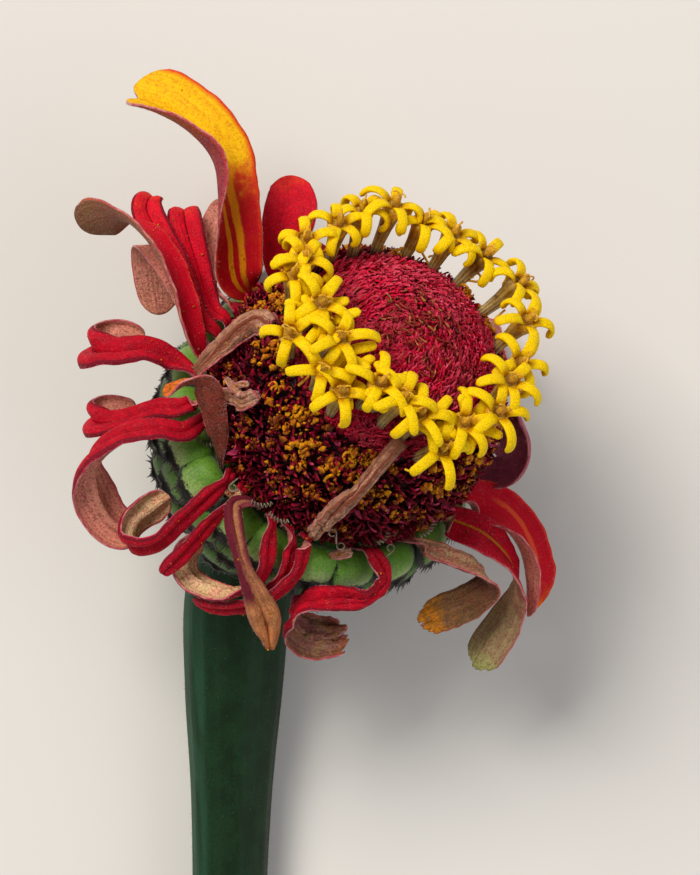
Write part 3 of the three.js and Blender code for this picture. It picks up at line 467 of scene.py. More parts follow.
bract_skin, tree, shader = new_material("Bract skin", sheen_weight=0.15, specular_ior_level=0.4)
uv = node(tree, "ShaderNodeUVMap", uv_map="Along").outputs[0]
across, along, _ = split(tree, uv)
streaks = noise(tree, stretched(tree, uv, (7.0, 1.2, 1.0)), 2.0, 3.0)
to_edge = calc(tree, "ABSOLUTE", calc(tree, "MULTIPLY_ADD", across, 2.0, -1.0))
ragged = calc(tree, "MULTIPLY_ADD", noise(tree, object_place(tree), 2600.0, 3.0), 0.36, -0.18)
flush = calc(tree, "MULTIPLY", ramped(tree, calc(tree, "MULTIPLY_ADD", streaks, 0.35, along), 0.62, 0.95),
             ramped(tree, to_edge, 0.95, 0.3))
# Painted shade: the two lower rows get a darker green and less of the pale flush
lower = attribute(tree, "lower")
flush = calc(tree, "MULTIPLY", flush, ramped(tree, lower, 0.0, 1.0, 1.0, 0.25))
green = mixed(tree, flush, mixed(tree, lower, "588c14", "3c7010"), "a8c47c")
side_black = calc(tree, "MULTIPLY", ramped(tree, calc(tree, "ADD", to_edge, ragged), 0.72, 0.84),
                  ramped(tree, along, 0.12, 0.35))
black = calc(tree, "MAXIMUM", ramped(tree, calc(tree, "ADD", along, ragged), 0.79, 0.86), side_black)
look = skin_look(tree, toned(tree, streaks, green, (0.45, 0.85, "2f6c10")), mixed(tree, lower, "7cac38", "4c8420"),
                 700.0, 0.35, 6000.0)
finished(tree, shader, look, 0.08, 0.5, mixed(tree, black, look["Colour"], "0c0d0c"))
bracts = closed_piece("bract_rows", np.concatenate(bract_points), np.concatenate(bract_faces), bract_skin,
                      "bract_green", "bract_cup", lower=np.concatenate(bract_shaded_rows))
with_uv(bracts, np.concatenate(bract_uv))
fringe_points = np.concatenate(fringe_points)
tooth_starts = np.arange(0, len(fringe_points), 4)[:, None, None]
fringe_black = plain_skin("Fringe black", "0d0c0c", "3a3428", 1200.0, 0.7, 7000.0, 0.05, 0.4, sheen_weight=0.2)
closed_piece("bract_fringe", fringe_points, (tooth_starts + TOOTH_FACES).reshape(-1, 3), fringe_black,
             "bract_green", smooth=False)

# The cone is the spent middle of the head. Thousands of scales of chaff cover it in spirals, dark and
# ragged on its side and a close crimson mat on its top, each a dry pointed strip set in a solid core.
CONE_FOOT, CONE_FOOT_RADIUS, CONE_RADIUS, CONE_WIDEST, CONE_TOP = -1.2, 10.2, 11.6, 4.5, 17.5
CORE_INSET, CORE_POLE = 0.4, 0.02
GOLDEN_ANGLE = 180 * (3 - math.sqrt(5))
SIDE_SCALES, MAT_SCALES, MAT_FOOT, SCALE_SUNK = 4300, 6800, 12.4, -0.25


def cone_radius(along):
    along = np.asarray(along, float)
    low = CONE_RADIUS - (CONE_RADIUS - CONE_FOOT_RADIUS) * ((CONE_WIDEST - along) / (CONE_WIDEST - CONE_FOOT)) ** 2
    high = CONE_RADIUS * np.sqrt(np.maximum(0, 1 - ((along - CONE_WIDEST) / (CONE_TOP - CONE_WIDEST)) ** 2))
    return np.where(along < CONE_WIDEST, low, high)


cone_along = CONE_FOOT + (CONE_TOP - CONE_FOOT) * np.sin(np.pi / 2 * np.linspace(0, 1, 61))
cone_r = cone_radius(cone_along)
cone_r[-1] = 0
slant = np.hypot(np.diff(cone_r), np.diff(cone_along))
cone_area = np.concatenate([[0], np.cumsum((cone_r[1:] + cone_r[:-1]) * slant)])


def on_cone(share, angle, stand=0.0):
    """Places, outward and up-slope directions on the cone, from shares of its area and angles."""
    h = np.interp(share * cone_area[-1], cone_area, cone_along)
    r = cone_radius(h)
    ahead = np.minimum(h + 0.05, CONE_TOP)
    run = np.stack([cone_radius(ahead) - r, ahead - h], -1)
    run = unit(np.where((ahead - h)[..., None] < 1e-6, [-1.0, 0.0], run))
    ways = radial(angle)
    up = ways * run[..., :1] + head_axis * run[..., 1:]
    outward = ways * run[..., 1:] - head_axis * run[..., :1]
    return on_head(angle, r, h) + outward * stand, outward, up


core_profile = np.stack([np.maximum(cone_r - CORE_INSET, CORE_POLE), cone_along - CORE_INSET * (cone_r < 9)], -1)
closed_piece("cone_core", *turned(np.vstack([[CORE_POLE, CONE_FOOT], core_profile]), 90), plain_skin(
    "Cone core", "2a040c", "5c0a1e", 1500.0, 0.8, 5000.0, 0.3, 0.8), "chaff_crimson", "chaff_cone")

on_points, given, out = new_tree("Geometry", "Copies set on points", [
    ("Geometry", "Geometry"), ("Shape", "Object"), ("Material", "Material")], [("Geometry", "Geometry")])
turned_copy = node(on_points, "FunctionNodeAxesToRotation", {
    "Primary Axis": named(on_points, "outward", "FLOAT_VECTOR"),
    "Secondary Axis": named(on_points, "upward", "FLOAT_VECTOR")}, primary_axis="Z", secondary_axis="Y").outputs[0]
shape = node(on_points, "GeometryNodeObjectInfo", {"Object": given["Shape"]}).outputs["Geometry"]
copies = node(on_points, "GeometryNodeInstanceOnPoints", {
    "Points": given["Geometry"], "Instance": shape, "Rotation": turned_copy,
    "Scale": named(on_points, "size", "FLOAT_VECTOR")}).outputs[0]
realized(on_points, copies, given["Material"], out)


def set_out(name, shape, material, slot, places, outward, upward, size, tint, smooth=True):
    """Hands over a piece of copies of a shape, each with a place, two directions, a size and a tint."""
    bed = new_object(name + "_bed", to_frame(places), outward=outward, upward=upward,
                     size=np.asarray(size) * MM, tint=tint)
    return hand_over(grown(name, bed, on_points, {"Shape": shape, "Material": material}, smooth), slot)


def ribbon_shape(name, rise, hook, taper):
    """A thin pointed strip with a ridge, one unit long and wide, that leans along +Y."""
    t = np.array([0, 0.25, 0.5, 0.75, 0.93])
    half = 0.5 * (1 - taper * t ** 2)
    z = rise * np.sin(t * np.pi * 0.75) + hook * t ** 3
    points = [[0, 1.02, z[-1] + 0.06 * hook]]
    for k in range(len(t)):
        points += [[-half[k], t[k], z[k]], [half[k], t[k], z[k]], [0, t[k], z[k] + 0.16]]
    faces = [[1, 3, 2]]
    for k in range(len(t) - 1):
        a = 1 + 3 * k
        for i, j in ((0, 1), (1, 2), (2, 0)):
            faces += [[a + i, a + j, a + j + 3], [a + i, a + j + 3, a + i + 3]]
    a = 1 + 3 * (len(t) - 1)
    faces += [[a, a + 1, 0], [a + 1, a + 2, 0], [a + 2, a, 0]]
    return recalculated(new_object(name, points, faces, tip=[1.0, *np.repeat(t, 3)]))


def chaff_material(name, dark, body, bright, odd, patch, patch_scale):
    """Dry chaff painted dark at its foot, as shade among the scales, and bright at the tip of some scales as a
    painted highlight, with a few scales of an odd colour.
    """
    material, tree, shader = new_material(name, specular_ior_level=0.15)
    tint, tip = attribute(tree, "tint"), attribute(tree, "tip")
    # Painted shade at the foot of each scale, among the others, and a painted highlight at the tip of some
    tip_highlight_share = calc(tree, "MULTIPLY", ramped(tree, tip, 0.45, 1.0), ramped(tree, tint, 0.3, 0.9))
    colour = mixed(tree, tip_highlight_share, toned(tree, tip, dark, (0.0, 0.65, body)), bright)
    look = skin_look(tree, toned(tree, tint, colour, (0.93, 0.96, odd)), patch, patch_scale, 0.4, 9000.0)
    finished(tree, shader, look, 0.06, 0.6)
    return material


side_chaff = chaff_material("Side chaff", "140204", "780420", "c00838", "dc4874", "140204", 2200.0)
mat_chaff = chaff_material("Mat chaff", "a00c2a", "dc1040", "f46080", "b8502c", "cc5468", 380.0)
ribbons = [ribbon_shape("flat_ribbon", 0.22, -0.1, 0.75), ribbon_shape("hooked_ribbon", 0.34, 0.3, 0.85)]
mat_share = np.interp(MAT_FOOT, cone_along, cone_area / cone_area[-1])
# Length and width are in millimetres, and how steep and how scattered the scales stand is in degrees
for name, material, count, from_share, to_share, length, width, steep, scatter in (
    ("chaff_side", side_chaff, SIDE_SCALES, 0.02, mat_share, 1.0, 0.58, 40, 200),
    ("chaff_mat", mat_chaff, MAT_SCALES, mat_share, 1, 0.82, 0.23, 20, 130),
):
    scale = np.arange(count)
    share = from_share + (to_share - from_share) * (scale + 0.5) / count
    places, outward, upward = on_cone(share, scale * GOLDEN_ANGLE, SCALE_SUNK)
    swing = np.radians(scatter * (draw(scale, 21) - 0.5))[:, None]
    upward = upward * np.cos(swing) + np.cross(outward, upward) * np.sin(swing)
    tilt = np.radians(steep + 30 * (draw(scale, 22) - 0.5))[:, None]
    outward, upward = outward * np.cos(tilt) - upward * np.sin(tilt), upward * np.cos(tilt) + outward * np.sin(tilt)
    long = length * (0.65 + 0.7 * draw(scale, 24))
    size = np.stack([width * (0.7 + 0.7 * draw(scale, 25)), long, 0.7 * long], -1)
    for number, ribbon in enumerate(ribbons):
        chosen = np.floor(draw(scale, 23) * 2) == number
        set_out(f"{name}_{number + 1}", ribbon, material, "chaff_crimson", places[chosen], outward[chosen],
                upward[chosen], size[chosen], draw(scale[chosen], 26), smooth=False)

# Old pollen and burst anthers stick to the chaff in clumps, brown low down and yellow under the ring of
# florets. Between them lie hooked bits of style, and drier curls of it stand at the very top of the cone.
CLUMPS, GRAINS_IN_CLUMP, CLUMP_RADIUS, HOOK_FROM = 280, 10, 11, 0.93
UPPER_CLUMPS, LOWER_CLUMPS, CRUMB_HEIGHTS = (9.2, 12.4), (-0.3, 9.2), (-0.6, 12.9)
APEX_CURLS, APEX_SHARE = 100, 0.035


def lump_shape(name, spread):
    """An uneven grain, one unit across."""
    work = bmesh.new()
    bmesh.ops.create_icosphere(work, subdivisions=1, radius=0.5)
    points = np.array([v.co for v in work.verts])
    faces = [[v.index for v in f.verts] for f in work.faces]
    work.free()
    points *= 1 + spread * (draw(np.arange(len(points)), 31)[:, None] - 0.5)
    return new_object(name, points, faces)


def curl_shape(name, turns, thick, rings=8, sides=4):
    """A hooked bit of thread, one unit across."""
    t = np.linspace(0, 1, rings)[:, None]
    path = np.concatenate([0.5 * np.cos(turns * t * math.tau), 0.5 * np.sin(turns * t * math.tau), 0.35 * t], 1)
    way = unit(np.gradient(path, axis=0))
    side = unit(np.cross(way, [0, 0, 1.0]))
    up = np.cross(side, way)
    angle = np.arange(sides) * math.tau / sides
    points = path[:, None] + thick * (side[:, None] * np.cos(angle)[:, None] + up[:, None] * np.sin(angle)[:, None])
    return recalculated(new_object(name, points, capped_rings(rings, sides), tip=np.repeat(t, sides)))


rng = np.random.default_rng(41)
clump_h = np.where(rng.random(CLUMPS) < 0.5, rng.uniform(*UPPER_CLUMPS, CLUMPS), rng.uniform(*LOWER_CLUMPS, CLUMPS))
clump_shade = rng.normal(0, 0.14, CLUMPS)
clump_angle = rng.uniform(0, 360, CLUMPS)
clump_size = rng.uniform(0.3, 0.9, CLUMPS)
clump_of = np.repeat(np.arange(CLUMPS), GRAINS_IN_CLUMP)
crumb_count = len(clump_of)
crumb_h = np.clip(clump_h[clump_of] + rng.normal(0, 0.45, crumb_count) * clump_size[clump_of], *CRUMB_HEIGHTS)
crumb_aside = rng.normal(0, 0.45, crumb_count) * clump_size[clump_of]
crumb_angle = clump_angle[clump_of] + np.degrees(crumb_aside / CLUMP_RADIUS)
crumb_place, crumb_out, crumb_up = on_cone(np.interp(crumb_h, cone_along, cone_area / cone_area[-1]), crumb_angle)
crumb_place = crumb_place + crumb_out * rng.uniform(0.25, 0.75, crumb_count)[:, None]
tumble = unit(crumb_out + rng.normal(0, 0.9, (crumb_count, 3)))
crumb_tint = np.clip(0.2 + 0.048 * crumb_h + clump_shade[clump_of] + rng.normal(0, 0.2, crumb_count), 0, 1)
crumb_kind = rng.random(crumb_count)
crumb_size = (0.12 + 0.42 * rng.random(crumb_count) ** 1.8) * np.where(crumb_h > 8.5, 1.15, 0.9)

pollen, tree, shader = new_material("Old pollen", specular_ior_level=0.15)
colour = toned(tree, attribute(tree, "tint"), "1c0c04",
               (0.0, 0.3, "84380a"), (0.3, 0.55, "cc7008"), (0.6, 0.9, "f4a404"))
finished(tree, shader, skin_look(tree, colour, "5c3010", 3500.0, 0.6, 12000.0), 0.06, 0.8)
lump = lump_shape("lump", 1.1)
hook = curl_shape("hook", 0.7, 0.16)
for name, shape, chosen, stretch in (
    ("pollen_lumps", lump, crumb_kind < HOOK_FROM, (1, 1.3, 0.8)),
    ("pollen_hooks", hook, crumb_kind >= HOOK_FROM, (1.5, 1.5, 1.5)),
):
    set_out(name, shape, pollen, "chaff_crimson", crumb_place[chosen], tumble[chosen], crumb_up[chosen],
            crumb_size[chosen][:, None] * np.array(stretch), crumb_tint[chosen])

curl = np.arange(APEX_CURLS)
curl_place, curl_out, _ = on_cone(1 - APEX_SHARE * draw(curl, 51) ** 1.5, 360 * draw(curl, 52), 0.25)
curl_up = unit(np.stack([draw(curl, k) - 0.5 for k in (53, 54, 55)], -1))
apex_skin = chaff_material("Apex curl", "5c1410", "a83430", "d0984c", "8c9440", "3c1008", 2200.0)
set_out("apex_curls", hook, apex_skin, "chaff_crimson", curl_place, curl_out, curl_up,
        (0.25 + 0.4 * draw(curl, 56))[:, None] * [0.45, 1.5, 1.8], draw(curl, 57))

# The disc florets are a ring of open yellow stars round the top of the cone, with younger, half-open ones on
# its crowded side. Each is one ribbed tube that widens to five thick lobes, velvety above, that arch and hang.
# A place is the angle round the head, the distance along its axis and the lean of the tube in degrees.
FLORETS = [
    [2, 12, 25], [16, 12.2, 20], [31, 11.9, 20], [47, 11.9, 27], [60, 12.2, 32], [73, 12, 22],
    [88, 11.7, 23], [101, 11.9, 14], [113, 12.2, 19], [126, 13.2, 2], [139, 12.4, 22],
    [147, 14.2, 3], [160, 13.2, 17], [176, 13.1, 12], [186, 14.6, 2], [203, 14.3, 0],
    [217, 13.8, 0], [230, 12.6, 15], [245, 13.5, 4], [262, 13.0, 6], [281, 13.3, 0],
    [300, 12.8, 3], [322, 12.4, 12], [343, 12.1, 28],
]
YOUNG_FLORETS = [
    [120, 13.8, 10], [134, 14.4, 10], [152, 14.9, 8], [169, 14.3, 10], [194, 14.9, 4], [224, 14.3, 8],
    [252, 13.9, 10],
]
florets = FLORETS + YOUNG_FLORETS
PALE_AT = (2, 343)
FAR_SIDE = 60
TUBE_LENGTH, YOUNG_TUBE, TUBE_SIDES, TUBE_START = 5.2, 0.62, 20, 0.1
TUBE_ROWS = np.array([[0.0, 0.42], [0.25, 0.48], [0.5, 0.57], [0.75, 0.76], [0.92, 0.94], [1.0, 1.0]])
THROAT_ROWS = np.array([[1.03, 0.82], [1.01, 0.56], [0.94, 0.26], [0.93, 0.02]])
MOUTH_FROM, MOUTH_RADIUS, MOUTH_DROP = 0.8, 0.74, 0.35
LOBES, LOBE_ROWS, LOBE_SIDES = 5, 14, 12
LOBE_LENGTH, LOBE_SPREAD, YOUNG_LOBE, LOBE_HALF_WIDTH, LOBE_HALF_THICK = 2.75, 0.85, 0.75, 0.46, 0.24


def lobe_ring_path(length, rise, droop):
    """Reach and rise along a lobe that starts up at one slope and ends down at another, both in degrees."""
    share = np.linspace(0, 1, LOBE_ROWS)
    slope = np.radians(rise + (droop - rise) * share ** 0.85)
    step = length / (LOBE_ROWS - 1)
    reach = MOUTH_RADIUS + np.concatenate([[0], np.cumsum(np.cos(slope[1:]) * step)])
    height = -0.3 + np.concatenate([[0], np.cumsum(np.sin(slope[1:]) * step)])
    return share, reach, height, slope


def floret_frame(i):
    """The foot of a floret, its up, side and front directions, and the length of its tube."""
    angle, along, lean = florets[i]
    outward = radial(angle)
    around = np.cross(head_axis, outward)
    lean = math.radians(lean)
    swing = math.radians(10 * (draw(i, 4) - 0.5))
    up = unit(head_axis * math.cos(lean) + outward * math.sin(lean) + around * math.sin(swing))
    side = unit(np.cross(up, outward))
    length = TUBE_LENGTH * (0.9 + 0.2 * draw(i, 5)) * (1 if i < len(FLORETS) else YOUNG_TUBE)
    return on_head(angle, cone_radius(along), along), up, side, np.cross(side, up), length


def rings_round(middle, front, side, spread, turn):
    return middle + front * (spread * np.cos(turn))[..., None] + side * (spread * np.sin(turn))[..., None]


rows = np.vstack([TUBE_ROWS, THROAT_ROWS])
in_mouth = rows[:, :1] > MOUTH_FROM
tube_turn = np.arange(TUBE_SIDES) * math.tau / TUBE_SIDES
theta = np.arange(LOBE_SIDES) * math.tau / LOBE_SIDES
tube_points, tube_faces, tube_rise, tube_line = [], [], [], []
lobe_points, lobe_faces, lobe_rise, lobe_shaded_underside = [], [], [], []
for i, (angle, _, _) in enumerate(florets):
    foot, up, side, front, length = floret_frame(i)
    spin = math.radians(72 * draw(i, 9))
    star = np.where(in_mouth, 1.0, 1 + 0.09 * np.cos(LOBES * (tube_turn - spin)))
    along = TUBE_START + rows[:, :1, None] * (length - TUBE_START) - MOUTH_DROP * in_mouth[..., None]
    ring = rings_round(foot + up * along, front, side, rows[:, 1:] * star, tube_turn)
    tube_points.append(ring.reshape(-1, 3))
    tube_faces += capped_rings(len(rows), TUBE_SIDES, i * len(rows) * TUBE_SIDES)
    tube_line.append(np.tile(np.arange(TUBE_SIDES) % 2, len(rows)))
    tube_rise.append(np.repeat(np.minimum(rows[:, 0], 1) * (0.5 if angle in PALE_AT else 1), TUBE_SIDES))
    far = (1 + math.cos(math.radians(angle - FAR_SIDE))) / 2
    for lobe in range(LOBES):
        number = i * LOBES + lobe
        droop = -40 - 35 * far - 80 * draw(number, 61)
        long = LOBE_LENGTH + LOBE_SPREAD * draw(number, 62)
        if i >= len(FLORETS):
            droop, long = 15 - 60 * draw(number, 61), YOUNG_LOBE * long
        share, reach, height, slope = lobe_ring_path(long, 62 + 22 * draw(number, 63), droop)
        way = spin + lobe * math.tau / LOBES + 0.4 * (draw(number, 64) - 0.5)
        outward = front * math.cos(way) + side * math.sin(way)
        across = side * math.cos(way) - front * math.sin(way)
        bend = 0.7 * (draw(number, 65) - 0.5) * share ** 2
        blunt = np.sqrt(np.maximum(0, 1 - (np.maximum(share - 0.84, 0) / 0.16) ** 2 * 0.97))
        half_wide = (LOBE_HALF_WIDTH - 0.08 * share + 0.04 * np.sin(share * np.pi)) * blunt
        half_thick = (LOBE_HALF_THICK + 0.07 * share) * blunt
        lift = outward * -np.sin(slope)[:, None] + up * np.cos(slope)[:, None]
        middle = foot + up * (length + height)[:, None] + outward * reach[:, None] + across * bend[:, None]
        wide = half_wide[:, None] * np.cos(theta)
        wrap = MOUTH_RADIUS - np.sqrt(np.maximum(0, MOUTH_RADIUS ** 2 - wide ** 2))
        wrap = wrap * np.maximum(0, 1 - 2 * share)[:, None]
        hollow = 0.06 * np.sin(theta) ** 2 * (np.sin(theta) > 0)
        ring = (middle[:, None] + across * wide[..., None] - outward * wrap[..., None]
                + lift[:, None] * (half_thick[:, None] * np.sin(theta) - hollow)[..., None])
        lobe_points.append(ring.reshape(-1, 3))
        lobe_faces += capped_rings(LOBE_ROWS, LOBE_SIDES, number * LOBE_ROWS * LOBE_SIDES)
        lobe_rise.append(np.repeat(share, LOBE_SIDES))
        lobe_shaded_underside.append(np.tile((np.sin(theta) < -0.3) * 1.0, LOBE_ROWS))

tube_skin, tree, shader = new_material("Floret tube", sheen_weight=0.05)
rise, line = attribute(tree, "rise"), attribute(tree, "line")
ribs = calc(tree, "MULTIPLY", ramped(tree, line, 0.35, 0.75), ramped(tree, rise, 1.0, 0.4, 0.2, 0.75))
streaks = noise(tree, stretched(tree, object_place(tree), (1.0, 1.0, 0.3)), 2600.0, 3.0)
colour = toned(tree, rise, "c8b880", (0.05, 0.4, "a87c08"), (0.45, 0.95, "f0b800"))
colour = toned(tree, streaks, mixed(tree, ribs, colour, "6c4c08"), (0.52, 0.8, "7c5c10"))
finished(tree, shader, skin_look(tree, colour, "ccb468", 1600.0, 0.3, 8000.0), 0.1, 0.6,
         relief=calc(tree, "MULTIPLY_ADD", line, -0.8, streaks))
closed_piece("floret_tubes", np.concatenate(tube_points), tube_faces, tube_skin, "floret_yellow", "disc_florets",
             rise=np.concatenate(tube_rise), line=np.concatenate(tube_line))

lobe_skin, tree, shader = new_material("Floret lobe", specular_ior_level=0.12)
# Painted shade: each lobe is golden brown at its root in the throat, and its underside is mixed darker
colour = toned(tree, attribute(tree, "rise"), "c88400", (0.02, 0.28, "ffd200"))
colour = mixed(tree, calc(tree, "MULTIPLY", attribute(tree, "under"), 0.45), colour, "c08400")
finished(tree, shader, skin_look(tree, colour, "ffe000", 1500.0, 0.4, 9000.0), 0.08, 0.5)
lobe_rise, lobe_shaded_underside = np.concatenate(lobe_rise), np.concatenate(lobe_shaded_underside)
lobes = closed_piece("floret_lobes", np.concatenate(lobe_points), lobe_faces, lobe_skin, "floret_yellow",
                     "disc_florets", rise=lobe_rise, under=lobe_shaded_underside)

# A brown anther column fills the throat of each floret. Two arms of its style, fine yellow threads, curl out of
# the column to either side.
ANTHER_ROWS = np.array([[-0.45, 0.2], [0.0, 0.27], [0.45, 0.3], [0.7, 0.22], [0.85, 0.06]])
ANTHER_SIDES = 10
ARM_RADIUS, ARM_TURN, ARM_GIRTH, ARM_START, ARM_STEPS = 0.32, 4.4, 0.075, 0.7, 14


def threads(name, paths, girth, material, slot):
    """Hands over a piece of round threads along paths of points."""
    edges, start = [], 0
    for path in paths:
        edges += [(start + k, start + k + 1) for k in range(len(path) - 1)]
        start += len(path)
    bed = new_object(name + "_path", to_frame(np.concatenate(paths)), edges=edges, girth=np.full(start, girth * MM))
    return hand_over(grown(name, bed, along_path, {"Sides": 6, "Material": material}), slot)


anther_turn = np.arange(ANTHER_SIDES) * math.tau / ANTHER_SIDES
anther_spread = ANTHER_ROWS[:, 1:] * (1 + 0.18 * np.cos(LOBES * anther_turn))
anther_points, anther_faces, arms = [], [], []
for i in range(len(florets)):
    foot, up, side, front, length = floret_frame(i)
    mouth = foot + up * length
    ring = rings_round(mouth + up * ANTHER_ROWS[:, :1, None], front, side, anther_spread, anther_turn)
    anther_points.append(ring.reshape(-1, 3))
    anther_faces += capped_rings(len(ANTHER_ROWS), ANTHER_SIDES, i * len(ANTHER_ROWS) * ANTHER_SIDES)
    for arm in (0, math.pi):
        way = math.tau * draw(i, 71) + arm
        outward = front * math.cos(way) + side * math.sin(way)
        bend = np.linspace(0, ARM_TURN * (0.6 + 0.4 * draw(i + arm, 72)), ARM_STEPS)[:, None]
        radius = ARM_RADIUS * (1 - 0.08 * bend)
        arms.append(mouth + up * (ARM_START + radius * np.sin(bend)) + outward * (ARM_RADIUS - radius * np.cos(bend)))
closed_piece("floret_anthers", np.concatenate(anther_points), anther_faces, plain_skin(
    "Anther", "e0a808", "a8700c", 3000.0, 0.6, 9000.0, 0.08, 0.7, sheen_weight=0.1), "floret_yellow")
yellow_thread = plain_skin("Yellow thread", "f0b808", "c87c0c", 1500.0, 0.6, 9000.0, 0.03)
threads("floret_styles", arms, ARM_GIRTH, yellow_thread, "floret_yellow")

# Down covers the velvety skins. It is short soft hairs that grow at random from a skin, thickest where the
# skin's own share of down is highest: on top of the lobes, and all over the stem but for its cut end.
on_skin, given, out = new_tree("Geometry", "Down on a skin", [
    ("Geometry", "Geometry"), ("Hair", "Object"), ("Density", "Float", 1.0), ("Thickness", "Float", 0.00002),
    ("Shortest", "Float", 0.0001), ("Longest", "Float", 0.0002), ("Tilt", "Float", 0.5), ("Seed", "Int", 1),
    ("Material", "Material")], [("Geometry", "Geometry")])
spread = node(on_skin, "GeometryNodeDistributePointsOnFaces", {
    "Mesh": given["Geometry"], "Density": calc(on_skin, "MULTIPLY", given["Density"], named(on_skin, "down")),
    "Seed": given["Seed"]}, distribute_method="RANDOM").outputs
lean_low = calc(on_skin, "MULTIPLY", given["Tilt"], -1.0)
low = node(on_skin, "ShaderNodeCombineXYZ", {0: lean_low, 1: lean_low, 2: 0.0}).outputs[0]
high = node(on_skin, "ShaderNodeCombineXYZ", {0: given["Tilt"], 1: given["Tilt"], 2: math.tau}).outputs[0]
lean = node(on_skin, "FunctionNodeRandomValue", {0: low, 1: high, "Seed": given["Seed"]},
            data_type="FLOAT_VECTOR").outputs[0]
euler = node(on_skin, "FunctionNodeEulerToRotation", {0: lean}).outputs[0]
hair_turn = node(on_skin, "FunctionNodeRotateRotation", {"Rotation": spread["Rotation"], "Rotate By": euler},
                 rotation_space="LOCAL").outputs[0]
long = node(on_skin, "FunctionNodeRandomValue", {2: given["Shortest"], 3: given["Longest"], "Seed": given["Seed"]},
            data_type="FLOAT").outputs[1]
hair_size = node(on_skin, "ShaderNodeCombineXYZ", {0: given["Thickness"], 1: given["Thickness"], 2: long}).outputs[0]
hair_form = node(on_skin, "GeometryNodeObjectInfo", {"Object": given["Hair"]}).outputs["Geometry"]
hairs = node(on_skin, "GeometryNodeInstanceOnPoints", {
    "Points": spread["Points"], "Instance": hair_form, "Rotation": hair_turn, "Scale": hair_size}).outputs[0]
realized(on_skin, hairs, given["Material"], out)
spike = new_object("spike", [[1, 0, -0.1], [-0.5, 0.87, -0.1], [-0.5, -0.87, -0.1], [0, 0, 1]], TOOTH_FACES)


def hair_material(name, colour, second, sheen=0.3):
    return plain_skin(name, colour, second, 900.0, 0.8, 9000.0, None, sheen_weight=sheen, specular_ior_level=0.2)


def downy(name, bed, material, slot, density, thickness, shortest, longest, tilt, seed):
    """Hands over a piece of hairs. Density is in hairs on a square millimetre, the sizes are in millimetres."""
    return hand_over(grown(name, bed, on_skin, {
        "Hair": spike, "Density": density / MM ** 2, "Thickness": thickness * MM, "Shortest": shortest * MM,
        "Longest": longest * MM, "Tilt": tilt, "Seed": seed, "Material": material}, smooth=False), slot)


def bed_of(made, down):
    """A copy of a piece's skin for down to grow on, with the share of down at each point."""
    bed = linked(made.name + "_bed", made.data.copy())
    bed.data.attributes.new("down", "FLOAT", "POINT").data.foreach_set("value", down)
    return bed


lobe_bed = bed_of(lobes, np.clip(lobe_rise * 3, 0, 1) * (1 - 0.6 * lobe_shaded_underside))
downy("floret_down", lobe_bed, hair_material("Lobe velvet", "ffd800", "ffe404", 0.0), "floret_yellow",
      density=26, thickness=0.015, shortest=0.03, longest=0.07, tilt=0.6, seed=3)
bare_below = (STEM_END[1] + 1) * MM + under_rim[1]
stem_bed = bed_of(stem, [float(v.co.y > bare_below) for v in stem.data.vertices])
downy("stem_down", stem_bed, hair_material("Stem hair", "3c5c44", "58745c"), "stem_green",
      density=1.2, thickness=0.013, shortest=0.12, longest=0.35, tilt=0.7, seed=5)

# The ray petals stand on narrow claws between the cone and the cup. Each is a thin dried strap, crimson velvet
# above and dusty pink with veins below, that bends back, loops or rolls as it dries. Some have folded up along
# their midrib into two bands, with painted shade as a dark line down the groove between them.
PETAL_THICKNESS, PETAL_COLUMNS, PETAL_ROWS = 0.3, 23, 64
TEARS = 9
FORMS = ("crease", "fold", "wave", "ridges", "notch", "ragged", "crumple", "columns")
RESTING_ROWS, SETTLING_STEPS = 3, 6
GROOVE_SHADE_FROM_FOLD = 0.08
CLEAR_OF_FLOOR = 0.5


def claw_rows(angle):
    inward = -0.85 * radial(angle) + 0.5 * head_axis
    return [[*on_head(angle, 11.35, -0.85), *inward, 0.9, 20], [*on_head(angle, 12.35, 1.05), *inward, 1.1, 40]]


